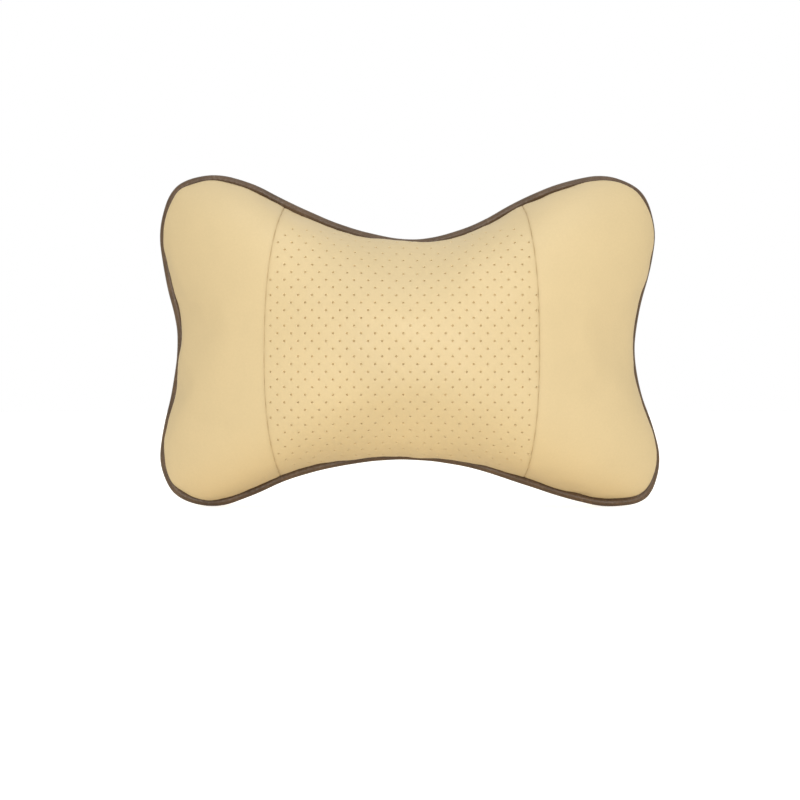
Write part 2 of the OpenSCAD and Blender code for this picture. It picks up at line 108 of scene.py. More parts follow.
STRIP_LOW, STRIP_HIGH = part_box("piping_strip")
SEAM_Y = (STRIP_LOW.y + STRIP_HIGH.y) / 2
BEAD_R = (STRIP_HIGH.y - STRIP_LOW.y) / 2
FRONT_CROWN = SEAM_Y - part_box("front_centre_panel")[0].y
BACK_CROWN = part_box("back_upper_panel")[1].y - SEAM_Y
LEFT_SEAM_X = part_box("front_centre_panel")[0].x
RIGHT_SEAM_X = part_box("front_centre_panel")[1].x
SLIDER_LOW, SLIDER_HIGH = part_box("zip_slider")
ZIP_Z = (SLIDER_LOW.z + SLIDER_HIGH.z) / 2
STITCH_LOW, STITCH_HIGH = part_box("zip_stitching_upper")
TAPE_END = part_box("zip_tape_upper")[1].x
BAND_LOW, BAND_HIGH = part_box("headrest_band")
BAND_T = 1.6 * MM
BAND_GAP = 0.4 * MM  # between the band and the cover
BAND_FLAT = 32 * MM  # half the band's flat stretch over the crown

COVER_INSET = 2 * BEAD_R + 0.4 * MM  # the cover's edge, in from the piping's outer edge
RIM_GAP = 0.6 * MM  # from the seam plane to the cover's edge

# ---- Cloth simulation ----

SIM_PITCH = 2.8 * MM  # spacing of the simulated mesh
SIM_FRAMES = 24
SIM_PRESSURE = 4.0
SIM_EXTRA = 0.006  # share of extra cloth
SIM_CAP = 8 * MM  # the furthest that the cloth may move
CLOTH = {
    "tension_stiffness": 40, "compression_stiffness": 40, "shear_stiffness": 20,
    "bending_stiffness": 5, "air_damping": 4, "quality": 6,
}

# ---- How much of the piping shows past the full front, round the edge ----

# Each is [x, z, width that shows] in millimetres, anticlockwise from the right waist. The front is
# fullest in the valleys and down the right-hand side, where it all but hides the piping.
SHOWING = {
    "right waist": [120, 0, 1.1],
    "top right lobe, outer side": [130, 45, 0.8],
    "top right lobe, corner": [120, 85, 1.8],
    "top right lobe, inner side": [75, 85, 3.5],
    "top valley, right flank": [25, 60, 3.4],
    "top valley": [-5, 55, 0.7],
    "top valley, left flank": [-30, 60, 3.2],
    "top left lobe, inner side": [-70, 75, 3.5],
    "top left lobe, crown": [-105, 90, 3.1],
    "top left lobe, corner": [-135, 70, 2.0],
    "top left lobe, outer side": [-135, 45, 2.1],
    "left waist, upper half": [-125, 10, 3.4],
    "left waist, lower half": [-125, -10, 0.9],
    "bottom left lobe, outer side": [-135, -65, 2.3],
    "bottom left lobe, corner": [-125, -85, 3.5],
    "bottom valley, left flank": [-60, -75, 3.4],
    "bottom valley": [0, -65, 0.8],
    "bottom valley, right flank": [60, -75, 3.5],
    "bottom right lobe, corner": [120, -90, 4.2],
    "bottom right lobe, outer side": [135, -70, 1.8],
    "right waist, lower half": [125, -25, 1.1],
}
LEAN_ANGLE = math.radians(55)  # the piping leans back this far where none of it shows
BULGE_START = 0.7 * MM  # from the front's rim in to where its bulge is widest
SCALLOP_DEPTH = 0.4 * MM  # small dents along the front's edge
SHOULDER_DROP = 2 * MM  # how much lower than in the CAD the lobes' shoulders lie


# ---- Small helpers ----

def new_object(name, vertices, faces):
    """A smooth-shaded mesh object from lists of vertices and faces."""
    mesh = bpy.data.meshes.new(name)
    mesh.from_pydata(np.asarray(vertices).tolist(), [], [list(map(int, f)) for f in faces])
    mesh.polygons.foreach_set("use_smooth", [True] * len(mesh.polygons))
    mesh.update()
    obj = bpy.data.objects.new(name, mesh)
    bpy.context.scene.collection.objects.link(obj)
    return obj


def points_of(mesh):
    """The vertices of a mesh as an array."""
    flat = np.empty(len(mesh.vertices) * 3)
    mesh.vertices.foreach_get("co", flat)
    return flat.reshape(-1, 3)


def smooth_step(t):
    """Eases from 0 to 1 as t goes from 0 to 1, and stays there outside."""
    t = np.clip(t, 0, 1)
    return t * t * (3 - 2 * t)


def unit(vectors):
    """The vectors, each scaled to length 1."""
    return vectors / np.maximum(np.linalg.norm(vectors, axis=-1, keepdims=True), 1e-12)


def resampled(line, step, closed=False):
    """A polyline resampled evenly along its length, about one step apart."""
    if closed:
        line = np.vstack([line, line[:1]])
    lengths = np.linalg.norm(np.diff(line, axis=0), axis=1)
    along = np.concatenate([[0], np.cumsum(lengths)])
    count = max(2, round(along[-1] / step))
    wanted = np.linspace(0, along[-1], count + 1)
    if closed:
        wanted = wanted[:-1]
    return np.column_stack([np.interp(wanted, along, line[:, k]) for k in range(line.shape[1])])


def smoothed_ring(values, rounds):
    """Values round a closed loop, averaged with their neighbours some rounds long."""
    for _ in range(rounds):
        values = 0.5 * values + 0.25 * (np.roll(values, 1, axis=0) + np.roll(values, -1, axis=0))
    return values


def outward_normals(loop):
    """Unit normals of a closed anticlockwise loop of [x, z] points."""
    along = np.roll(loop, -1, axis=0) - np.roll(loop, 1, axis=0)
    return unit(np.column_stack([along[:, 1], -along[:, 0]]))


def wave_noise(t, seed, waves):
    """A smooth irregular wave along t that repeats each time t grows by 1, from about -1 to 1."""
    rng = np.random.default_rng(seed)
    total = np.zeros_like(t)
    for k in range(1, waves + 1):
        total += rng.uniform(0.4, 1) * np.sin(2 * math.pi * (k * t + rng.uniform()))
    return total / math.sqrt(waves)


def distances(points, targets):
    """The distance from each point to the nearest of the targets."""
    tree = KDTree(len(targets))
    width = 3 - targets.shape[1]
    for i, p in enumerate(np.pad(targets, ((0, 0), (0, width)))):
        tree.insert(p, i)
    tree.balance()
    return np.array([tree.find(p)[2] for p in np.pad(points, ((0, 0), (0, width)))])


def node_tree(*names):
    """A search tree over the faces of some CAD nodes."""
    vertices = []
    faces = []
    for name in names:
        mesh = frame["nodes"][name].data
        faces += [[len(vertices) + i for i in polygon.vertices] for polygon in mesh.polygons]
        vertices += points_of(mesh).tolist()
    return BVHTree.FromPolygons(vertices, faces)


# ---- The edge of the pillow, taken from the CAD piping ----

OUTLINE_STEP = 0.7 * MM
CURVE_STEPS = 12  # points on the curve from one CAD corner to the next
FAR_OUT = 0.3  # metres from the middle, outside the whole pillow
SAME_PLACE = 0.05 * MM


def outer_corners():
    """The corners of the CAD piping's outer edge, anticlockwise."""
    points = points_of(frame["nodes"]["piping_strip"].data)
    level = points[np.abs(points[:, 1] - SEAM_Y) < 1e-6][:, [0, 2]]
    tree = node_tree("piping_strip")
    corners = []
    for x, z in np.unique(np.round(level, 7), axis=0):
        outside = Vector((x, 0, z)).normalized() * FAR_OUT
        start = Vector((outside.x, SEAM_Y, outside.z))
        hit = tree.ray_cast(start, -outside.normalized())[0]
        if hit is not None and (hit - Vector((x, SEAM_Y, z))).length < SAME_PLACE:
            corners.append((x, z))
    corners = np.array(corners)
    return corners[np.argsort(np.arctan2(corners[:, 1], corners[:, 0]))]


def piping_outline():
    """The piping's outer edge, anticlockwise, on a smooth curve through the CAD's corners."""
    corners = outer_corners()
    before, after, beyond = (np.roll(corners, shift, axis=0) for shift in (1, -1, -2))
    steps = []
    for t in np.linspace(0, 1, CURVE_STEPS, endpoint=False):
        curve = (-before + 3 * corners - 3 * after + beyond) * t ** 3
        curve += (2 * before - 5 * corners + 4 * after - beyond) * t ** 2
        curve += (after - before) * t
        steps.append(curve / 2 + corners)
    loop = np.stack(steps, axis=1).reshape(-1, 2)
    return smoothed_ring(resampled(loop, OUTLINE_STEP, closed=True), 12)


OUTLINE = piping_outline()
NORMALS = outward_normals(OUTLINE)
RIM = OUTLINE - COVER_INSET * NORMALS


def polar(flat):
    """The angles of flat points round the middle, and their distances from it."""
    return np.arctan2(flat[:, 1], flat[:, 0]), np.linalg.norm(flat, axis=1)


def rim_table(values):
    """A function of a flat point's angle, from values along the rim."""
    angle = polar(RIM)[0]
    order = np.argsort(angle)
    return lambda flat: np.interp(polar(flat)[0], angle[order], values[order], period=2 * math.pi)


def hidden_width():
    """How far, at each outline point, the front bulges out over the piping."""
    places = np.array(list(SHOWING.values())) * MM
    nearest = np.array([np.argmin(np.linalg.norm(OUTLINE - [x, z], axis=1)) for x, z, _ in places])
    order = np.argsort(nearest)
    index = np.arange(len(OUTLINE))
    showing = np.interp(index, nearest[order], places[order, 2], period=len(OUTLINE))
    scallops = SCALLOP_DEPTH * wave_noise(index / len(OUTLINE), seed=21, waves=45)
    return COVER_INSET + BULGE_START - smoothed_ring(showing, 50) + scallops


OVERHANG = hidden_width()
LEAN = np.clip(OVERHANG / COVER_INSET, 0, 1)
rim_radius = rim_table(polar(RIM)[1])
rim_overhang = rim_table(OVERHANG)
rim_lean = rim_table(LEAN)
rim_outward = [rim_table(NORMALS[:, 0]), rim_table(NORMALS[:, 1])]
rim_place = rim_table(np.arange(len(RIM)) / len(RIM))


def share_out(flat):
    """How far each flat point is on its way from the middle (0) to the cover's rim (1)."""
    return np.linalg.norm(flat, axis=1) / rim_radius(flat)


def plan_of(domain):
    """The plan position of each domain point before the simulation."""
    share = np.maximum(share_out(domain), 1e-9)
    return domain * (np.sin(np.minimum(share, 1) * math.pi / 2) / share)[:, None]


# ---- Flat meshes ----

def hexagon_lattice(low, high, pitch):
    """Points of a triangle lattice over a rectangle."""
    rows = np.arange(low[1], high[1], pitch * math.sqrt(3) / 2)
    columns = np.arange(low[0], high[0], pitch)
    points = []
    for i, row in enumerate(rows):
        points.append(np.column_stack([columns + (i % 2) * pitch / 2, np.full(len(columns), row)]))
    return np.vstack(points)


def inside(points, loop):
    """Which flat points lie inside a closed loop."""
    result = np.zeros(len(points), bool)
    for (x0, z0), (x1, z1) in zip(loop, np.roll(loop, -1, axis=0)):
        if z0 == z1:
            continue
        crosses = (z0 > points[:, 1]) != (z1 > points[:, 1])
        result ^= crosses & (points[:, 0] < (x1 - x0) * (points[:, 1] - z0) / (z1 - z0) + x0)
    return result


def loop_edges(first, count):
    """The edges round a closed loop of numbered points."""
    return [(first + i, first + (i + 1) % count) for i in range(count)]


def triangulated(loop, points, holes=()):
    """Triangles inside a loop and outside small hole loops: (all points, faces)."""
    groups = [loop, *holes, points]
    firsts = np.cumsum([0] + [len(g) for g in groups])
    edges = []
    for first, group in zip(firsts, groups[:-1]):
        edges += loop_edges(int(first), len(group))
    everything = np.vstack([g for g in groups if len(g)])
    out = delaunay_2d_cdt([Vector(p) for p in everything], edges, [], 0, 1e-9, True)
    if len(out[0]) != len(everything):
        raise RuntimeError(f"flat mesh: {len(everything)} points became {len(out[0])}")
    source = np.array([ids[0] for ids in out[3]])
    faces = source[np.array([list(f) for f in out[2]])]
    group_of = np.searchsorted(firsts, faces, side="right") - 1
    one_hole = (group_of == group_of[:, :1]).all(axis=1) & (group_of[:, 0] > 0)
    one_hole &= group_of[:, 0] <= len(holes)
    faces = faces[~one_hole]
    middle = everything[faces].mean(axis=1)
    return everything, faces[inside(middle, loop)]


def face_edges(faces):
    """Every edge of a triangle mesh, once."""
    pairs = np.vstack([faces[:, [0, 1]], faces[:, [1, 2]], faces[:, [2, 0]]])
    return np.unique(np.sort(pairs, axis=1), axis=0)


def relaxed(values, edges, fixed, rounds):
    """Rows of values at a mesh's vertices, averaged with their neighbours except where fixed."""
    values = values.copy()
    count = np.bincount(edges.ravel(), minlength=len(values))[:, None]
    for _ in range(rounds):
        total = np.zeros_like(values)
        np.add.at(total, edges[:, 0], values[edges[:, 1]])
        np.add.at(total, edges[:, 1], values[edges[:, 0]])
        values[~fixed] = 0.5 * values[~fixed] + 0.5 * (total / count)[~fixed]
    return values


class Lookup:
    """Carries rows of values from a flat triangle mesh to any flat point."""

    def __init__(self, flat, values, triangles):
        self.flat = flat
        self.values = values
        self.triangles = triangles
        self.tree = BVHTree.FromPolygons(np.pad(flat, ((0, 0), (0, 1))).tolist(), triangles.tolist())

    def __call__(self, places):
        found = [self.tree.find_nearest(Vector((x, z, 0))) for x, z in places]
        at = np.array([[f[0].x, f[0].y] for f in found])
        corners = self.triangles[[f[2] for f in found]]
        a, b, c = (self.flat[corners[:, k]] for k in range(3))
        u, v, w = b - a, c - a, at - a
        area = u[:, 0] * v[:, 1] - u[:, 1] * v[:, 0]
        area = np.where(np.abs(area) < 1e-16, 1e-16, area)
        share_b = (w[:, 0] * v[:, 1] - w[:, 1] * v[:, 0]) / area
        share_c = (u[:, 0] * w[:, 1] - u[:, 1] * w[:, 0]) / area
        shares = np.column_stack([1 - share_b - share_c, share_b, share_c])
        return (self.values[corners] * shares[:, :, None]).sum(axis=1)


def subdivided(points, faces):
    """A mesh's points and triangles after two rounds of smooth subdivision."""
    obj = new_object("subdivided", points, faces)
    modifier = obj.modifiers.new("Subdivision", "SUBSURF")
    modifier.levels = 2
    mesh = obj.evaluated_get(bpy.context.evaluated_depsgraph_get()).to_mesh()
    result = points_of(mesh)
    quads = np.array([list(polygon.vertices) for polygon in mesh.polygons])
    bpy.data.objects.remove(obj)
    return result, np.vstack([quads[:, [0, 1, 2]], quads[:, [0, 2, 3]]])


def vertex_normals(points, faces):
    """Unit normals at the points of a triangle mesh."""
    across = np.cross(points[faces[:, 1]] - points[faces[:, 0]],
                      points[faces[:, 2]] - points[faces[:, 0]])
    total = np.zeros_like(points)
    for k in range(3):
        np.add.at(total, faces[:, k], across)
    return unit(total)


# ---- The simulated cover ----

def cad_heights(side, plan):
    """The CAD cover's distance from the seam plane at each plan point."""
    names = {FRONT: ("front_left_panel", "front_centre_panel", "front_right_panel"),
             BACK: ("back_upper_panel", "back_lower_panel", "zip_tape_upper", "zip_tape_lower")}
    tree = node_tree(*names[side])
    heights = []
    for x, z in plan:
        hit = tree.ray_cast(Vector((x, side * 0.5, z)), Vector((0, -side, 0)))[0]
        heights.append(side * (hit.y - SEAM_Y) if hit is not None else 0.0)
    return np.maximum(np.array(heights), RIM_GAP)


def shoulder_drop(domain):
    """How much lower than in the CAD the front lies on the shoulders of its lobes."""
    share = share_out(domain)
    lobe = smooth_step((np.abs(domain[:, 0]) - 40 * MM) / (60 * MM))
    return SHOULDER_DROP * lobe * smooth_step((1 - share) / 0.2) * smooth_step((share - 0.1) / 0.5)


def simulated(points, faces, pinned):
    """The points after a cloth simulation with air pressure behind them."""
    obj = new_object("cloth", points, faces)
    group = obj.vertex_groups.new(name="pin")
    group.add([int(i) for i in np.flatnonzero(pinned)], 1.0, "REPLACE")
    cloth = obj.modifiers.new("Cloth", "CLOTH")
    settings = cloth.settings
    settings.vertex_group_mass = "pin"
    settings.use_pressure = True
    settings.uniform_pressure_force = SIM_PRESSURE
    settings.shrink_min = -SIM_EXTRA
    for key, value in CLOTH.items():
        setattr(settings, key, value)
    settings.effector_weights.gravity = 0
    cloth.collision_settings.use_collision = False
    cloth.point_cache.frame_end = SIM_FRAMES
    for number in range(1, SIM_FRAMES + 1):
        bpy.context.scene.frame_set(number)
    result = points_of(obj.evaluated_get(bpy.context.evaluated_depsgraph_get()).data)
    bpy.context.scene.frame_set(1)
    bpy.data.objects.remove(obj)
    move = result - points
    length = np.linalg.norm(move, axis=1, keepdims=True)
    return points + move * np.minimum(1, SIM_CAP / np.maximum(length, 1e-9))


BULGE_TURN = 0.07  # share of the way in over which the bulge turns under
BULGE_FROM = 0.45  # share of the way out where the bulge begins,
BULGE_RISE = 0.5  # and the share over which it grows
BACK_TUCK = 1.3 * MM  # how far the back draws in where the piping leans on it


def add_overhang(side, domain, points):
    """Bulges the front out over the leaning piping, and makes room for the piping at the back."""
    share = share_out(domain)
    if side == FRONT:
        amount = rim_overhang(domain) * smooth_step((1 - share) / BULGE_TURN)
        amount *= smooth_step((share - BULGE_FROM) / BULGE_RISE)
    else:
        amount = -BACK_TUCK * rim_lean(domain) * smooth_step((1 - share) / 0.02)
        amount *= smooth_step((share - 0.8) / 0.15)
    points[:, 0] += amount * rim_outward[0](domain)
    points[:, 2] += amount * rim_outward[1](domain)


ZIP_COVER_Y = SEAM_Y + cad_heights(BACK, [[0, ZIP_Z + 8 * MM]])[0]
LEVEL_PAST_TAPES = 4 * MM  # the back is level this far past the tapes' ends,
LEVEL_HALF = 9 * MM  # and this far above and below the zip,
FADE_SIDEWAYS = 34 * MM  # and then goes back to its crown over these widths
FADE_UP = 14 * MM
FADE_DOWN = 24 * MM


def level_at_zip(points):
    """Levels the back along the zip, where the tapes hold it."""
    past = np.abs(points[:, 0]) - TAPE_END - LEVEL_PAST_TAPES
    above = points[:, 2] - ZIP_Z
    share = smooth_step(1 - past / FADE_SIDEWAYS)
    share *= smooth_step((LEVEL_HALF + FADE_UP - above) / FADE_UP)
    share *= smooth_step((LEVEL_HALF + FADE_DOWN + above) / FADE_DOWN)
    points[:, 1] += (ZIP_COVER_Y - points[:, 1]) * share


def upper_hull(points):
    """The upper side of the convex hull of flat points, from left to right."""
    hull = []
    for p in points[np.lexsort((points[:, 1], points[:, 0]))]:
        while len(hull) > 1:
            a = hull[-1] - hull[-2]
            b = p - hull[-2]
            if a[0] * b[1] - a[1] * b[0] < 0:
                break
            hull.pop()
        hull.append(p)
    return np.array(hull)


BAND_ROOT = 1.4 * BEAD_R  # where the band leaves the side seams, behind their plane
BAND_CLEAR = 6 * MM  # nearer the seam than this, the back doesn't carry the band
BAND_SIDE_X = 100 * MM  # past this, the back's side also pushes the band outward
BAND_SHADOW = 7 * MM  # how far above and below the band the back is pressed in


def taut_band(points):
    """The band's inner face as [x, y] points: stretched over the back from side to side."""
    under = points[np.abs(points[:, 2]) < BAND_HIGH.z][:, :2]
    ends = [[x, SEAM_Y + BAND_ROOT] for x in (under[:, 0].min(), under[:, 0].max())]
    over = under[under[:, 1] > SEAM_Y + BAND_CLEAR] + [0, BAND_GAP]
    flat = [[x, BAND_HIGH.y - BAND_T] for x in (-BAND_FLAT, BAND_FLAT)]
    outward = np.sign(over[:, :1]) * [[BAND_GAP, 0]] * (np.abs(over[:, :1]) > BAND_SIDE_X)
    return resampled(upper_hull(np.vstack([over + outward, ends, flat])), 1.5 * MM)


def press_under_band(points, line):
    """Keeps the back just under the band, with a soft edge above and below it."""
    limit = np.interp(points[:, 0], line[:, 0], line[:, 1]) - BAND_GAP
    beside = smooth_step((BAND_HIGH.z + BAND_SHADOW - np.abs(points[:, 2])) / BAND_SHADOW)
    points[:, 1] -= beside * np.maximum(points[:, 1] - limit, 0)


GATHERS = 62  # round the whole edge
GATHER_DEPTH = 0.24 * MM
GATHER_REACH = 6.5 * MM  # how far in from the edge the gathers fade


def puckered(side, domain, points, faces):
    """Fine gathers in the leatherette where it is sewn to the piping."""
    place = rim_place(domain)
    depth = (1 - share_out(domain)) * rim_radius(domain)
    drift = 3.5 * wave_noise(place, seed=5 + side, waves=9)
    ripple = np.sin(2 * math.pi * GATHERS * place + drift)
    strength = 0.3 + 0.45 * wave_noise(place, seed=11 + side, waves=7) + 0.6 * rim_lean(domain)
    amount = GATHER_DEPTH * np.clip(strength, 0.1, 2) * ripple
    amount *= np.exp(-depth / GATHER_REACH) * smooth_step(depth / (1.2 * MM))
    return points + amount[:, None] * vertex_normals(points, faces)


class Side:
    """One side of the cover, worked out once.

    at() lays domain points on its surface, and domain_under() gives the domain points seen at plan
    points. The back also has band, the path of the elastic band over it.
    """

    def __init__(self, side):
        self.side = side
        domain, faces, on_rim = self.flat_mesh()
        points = self.filled(domain, faces, on_rim)
        add_overhang(side, domain, points)
        if side == BACK:
            level_at_zip(points)
            self.band = taut_band(points)
            press_under_band(points, self.band)
        self.refine(domain, points, faces)

    def flat_mesh(self):
        """The domain points, the triangles, and which of the points are on the rim."""
        rim = resampled(RIM, SIM_PITCH * 0.8, closed=True)
        lattice = hexagon_lattice(RIM.min(axis=0), RIM.max(axis=0), SIM_PITCH)
        lattice = lattice[share_out(lattice) < 1 - SIM_PITCH * 0.6 / rim_radius(lattice)]
        domain, faces = triangulated(rim, lattice)
        if self.side == BACK:
            faces = faces[:, ::-1]
        return domain, faces, np.arange(len(domain)) < len(rim)

    def filled(self, domain, faces, on_rim):
        """The points in space: the CAD's heights, simulated, and scaled to the CAD's crown."""
        plan = plan_of(domain)
        height = cad_heights(self.side, plan * 0.9995)
        if self.side == FRONT:
            height -= shoulder_drop(domain)
        height[on_rim] = RIM_GAP
        edges = face_edges(faces)
        height = relaxed(height[:, None], edges, on_rim, 30)[:, 0]
        points = np.column_stack([plan[:, 0], SEAM_Y + self.side * height, plan[:, 1]])
        points = simulated(points, faces, on_rim)
        points = relaxed(points, edges, on_rim, 2)
        crown = {FRONT: FRONT_CROWN, BACK: BACK_CROWN}[self.side]
        rise = self.side * (points[:, 1] - SEAM_Y)
        points[:, 1] = SEAM_Y + self.side * rise * crown / rise.max()
        return points

    def refine(self, domain, points, faces):
        """Subdivides the surface, gathers its edge, and makes it ready to look up."""
        fine_domain, triangles = subdivided(np.pad(domain, ((0, 0), (0, 1))), faces)
        fine_domain = fine_domain[:, :2]
        fine_points = subdivided(points, faces)[0]
        fine_points = puckered(self.side, fine_domain, fine_points, triangles)
        facing = self.side * vertex_normals(fine_points, triangles)[:, 1] > 0.05
        ahead = triangles[facing[triangles].all(axis=1)]
        self.at = Lookup(fine_domain, fine_points, triangles)
        self.domain_under = Lookup(fine_points[:, [0, 2]], fine_domain, ahead)


front = Side(FRONT)
back = Side(BACK)

# ---- Panel outlines, in the domain ----

SEAM_POINTS = 160
LOOP_STEP = 1.1 * MM
ZIP_SLOT = 5 * MM  # half the gap between the back panels' edges
SLOT_END = TAPE_END + 3 * MM  # where the gap has closed
SLOT_SOFT = 6 * MM
ZIP_SEAM_ENDS = (-129 * MM, 125 * MM)  # where the back's cut meets the rim


def domain_of(plan):
    """The domain points whose plan positions, before the simulation, are these."""
    share = np.maximum(np.linalg.norm(plan, axis=1) / rim_radius(plan), 1e-9)
    return plan * (np.arcsin(np.minimum(share, 1)) * 2 / math.pi / share)[:, None]


def rim_index(x, z):
    """The number of the rim point nearest to a flat place."""
    return int(np.argmin(np.linalg.norm(RIM - [x, z], axis=1)))


def rim_stretch(first, last):
    """The rim from one index to another, anticlockwise, both included."""
    count = (last - first) % len(RIM)
    return resampled(RIM[(first + np.arange(count + 1)) % len(RIM)], LOOP_STEP)


SEAM_END_IN = 1.2 * MM  # the seams' ends, nearer the middle than in the CAD
SEAM_BOW = 2.4  # above 2, a seam is straighter at mid-height than an arc
SEAM_FIXED = 0.08  # share of a seam, at each end, that is held to the rim


def centre_corners():
    """The rim places where the front's seams end: {(left or right, top or bottom): index}."""
    points = points_of(frame["nodes"]["front_centre_panel"].data)
    edge = points[np.abs(points[:, 1] - (SEAM_Y - RIM_GAP)) < 0.05 * MM]
    corners = {}
    for level, row in (("top", edge[edge[:, 2] > 0]), ("bottom", edge[edge[:, 2] < 0])):
        for name, i in (("left", np.argmin(row[:, 0])), ("right", np.argmax(row[:, 0]))):
            x = row[i, 0] - np.sign(row[i, 0]) * SEAM_END_IN
            corners[name, level] = rim_index(x, row[i, 2])
    return corners


def front_seam(bottom, top, mid_x):
    """A panel seam from its bottom to its top end, bowed out to mid_x half way up."""
    t = np.linspace(0, 1, SEAM_POINTS)[:, None]
    line = RIM[bottom] * (1 - t) + RIM[top] * t
    bow = 1 - np.abs(2 * t[:, 0] - 1) ** SEAM_BOW
    line[:, 0] += (mid_x - (RIM[bottom, 0] + RIM[top, 0]) / 2) * bow
    guess = line.copy()
    free = smooth_step(np.minimum(t, 1 - t)[:, 0] / SEAM_FIXED)
    for _ in range(3):
        laid = front.at(domain_of(guess))
        guess[:, 0] += free * (line[:, 0] - laid[:, 0])
    return resampled(domain_of(guess), LOOP_STEP)


def back_cut(direction):
    """The edge of a back panel along the zip, from left to right; direction is 1 for the upper."""
    left, right = (RIM[rim_index(x, ZIP_Z)] for x in ZIP_SEAM_ENDS)
    t = (1 - np.cos(np.linspace(0, math.pi, 2 * SEAM_POINTS))) / 2
    x = left[0] + (right[0] - left[0]) * t
    z = left[1] + (right[1] - left[1]) * t
    z = z + (ZIP_Z - z) * smooth_step((1 - np.abs(2 * t - 1)) / 0.1)
    z = z + direction * ZIP_SLOT * smooth_step((SLOT_END - np.abs(x)) / SLOT_SOFT)
    return resampled(domain_of(np.column_stack([x, z])), LOOP_STEP)


CORNERS = centre_corners()
LEFT_SEAM = front_seam(CORNERS["left", "bottom"], CORNERS["left", "top"], LEFT_SEAM_X)
RIGHT_SEAM = front_seam(CORNERS["right", "bottom"], CORNERS["right", "top"], RIGHT_SEAM_X)
UPPER_CUT = back_cut(1)
LOWER_CUT = back_cut(-1)
ZIP_LEFT = rim_index(*LOWER_CUT[0])
ZIP_RIGHT = rim_index(*LOWER_CUT[-1])


def joined(*lines):
    """A closed loop of lines laid end to end, without their last points."""
    return np.vstack([line[:-1] for line in lines])


PERFORATED = "front_centre_panel"
PANEL_LOOPS = {
    "front_left_panel": joined(
        rim_stretch(CORNERS["left", "top"], CORNERS["left", "bottom"]), LEFT_SEAM),
    PERFORATED: joined(
        LEFT_SEAM[::-1], rim_stretch(CORNERS["left", "bottom"], CORNERS["right", "bottom"]),
        RIGHT_SEAM, rim_stretch(CORNERS["right", "top"], CORNERS["left", "top"])),
    "front_right_panel": joined(
        rim_stretch(CORNERS["right", "bottom"], CORNERS["right", "top"]), RIGHT_SEAM[::-1]),
    "back_upper_panel": joined(rim_stretch(ZIP_RIGHT, ZIP_LEFT), UPPER_CUT),
    "back_lower_panel": joined(rim_stretch(ZIP_LEFT, ZIP_RIGHT), LOWER_CUT[::-1]),
}

# ---- Punched holes in the centre panel ----

HOLE_LEVELS = np.linspace(-66, 60, 240) * MM  # heights at which a column of holes is measured
HOLE_PITCH = 7.3 * MM  # between holes of one row
ROW_PITCH = 4.0 * MM  # between rows; every other row is shifted by half a pitch
HOLE_SIDES = 10
SLOPE_SHARE = 0.2  # the rest of the slope is taken up by stretched leatherette
HOLE_RIM_R = 0.75 * MM  # where the leatherette starts to turn down
# Rings down the hole's wall, each as [radius, depth].
HOLE_RINGS = np.array([[0.65, 0.03], [0.57, 0.12], [0.54, 0.3], [0.51, 1.0]]) * MM
HOLE_EDGE_CLEARANCE = 1.0 * MM
HOLE_TURN = np.linspace(0, 2 * math.pi, HOLE_SIDES, endpoint=False)[:, None]
LAST_HOLE_AT = 0.955  # share of the way out past which there are no holes
ROWS_EACH_WAY = 14  # more than there is room for


def hole_centres():
    """The holes' centres in the domain: staggered rows, a little closer where the crown slopes."""
    half = HOLE_PITCH / 2
    centres = []
    for column in range(math.ceil(LEFT_SEAM_X / half), math.floor(RIGHT_SEAM_X / half) + 1):
        plan = np.column_stack([np.full(len(HOLE_LEVELS), column * half), HOLE_LEVELS])
        places = front.domain_under(plan)
        section = front.at(places)
        sloping = np.linalg.norm(np.diff(section[:, 1:], axis=0), axis=1)
        steps = np.diff(HOLE_LEVELS) * (1 - SLOPE_SHARE) + sloping * SLOPE_SHARE
        along = np.concatenate([[0], np.cumsum(steps)])
        along -= np.interp(0, HOLE_LEVELS, along)
        rows = np.arange(-ROWS_EACH_WAY, ROWS_EACH_WAY + 1) * 2 + column % 2
        rows = rows[(rows * ROW_PITCH > along[0]) & (rows * ROW_PITCH < along[-1])]
        centres.append(np.column_stack(
            [np.interp(rows * ROW_PITCH, along, places[:, k]) for k in (0, 1)]))
    centres = np.vstack(centres)
    centres = centres[share_out(centres) < LAST_HOLE_AT]
    seams = np.vstack([LEFT_SEAM, RIGHT_SEAM])
    centres = centres[inside(centres, PANEL_LOOPS[PERFORATED])]
    return centres[distances(centres, seams) > HOLE_EDGE_CLEARANCE]


def hole_frames(centres):
    """Each hole's middle, two directions along the surface, and the domain steps that match them."""
    h = 0.4 * MM
    du = (front.at(centres + [h, 0]) - front.at(centres - [h, 0])) / (2 * h)
    dv = (front.at(centres + [0, h]) - front.at(centres - [0, h])) / (2 * h)
    stretch_u = np.linalg.norm(du, axis=1, keepdims=True)
    across = du / stretch_u
    shear = (dv * across).sum(axis=1, keepdims=True)
    up = dv - shear * across
    stretch_v = np.linalg.norm(up, axis=1, keepdims=True)
    up = up / stretch_v
    step_across = np.hstack([1 / stretch_u, np.zeros_like(stretch_u)])
    step_up = np.hstack([-shear / (stretch_u * stretch_v), 1 / stretch_v])
    return front.at(centres), across, up, step_across, step_up


# ---- Panels ----

EDGE_ROWS = (0.2 * MM, 0.45 * MM, 0.8 * MM, 1.4 * MM)
PANEL_PITCH = 1.7 * MM
FOLD_R = 0.38 * MM  # radius at which an edge turns in
HEM_DEPTH = 0.8 * MM
DIMPLE = 0.22 * MM  # how far a seam pulls the sponge in
DIMPLE_REACH = 2.2 * MM
CREASE_SHADE_REACH = 0.6 * MM  # how far from an edge the leatherette is darkened as painted shade


def edge_rows(loop):
    """Rows of points close inside a loop."""
    rows = []
    for gap in EDGE_ROWS:
        row = loop - gap * outward_normals(loop)
        rows.append(row[(distances(row, loop) > 0.8 * gap) & inside(row, loop)])
    return np.vstack(rows)


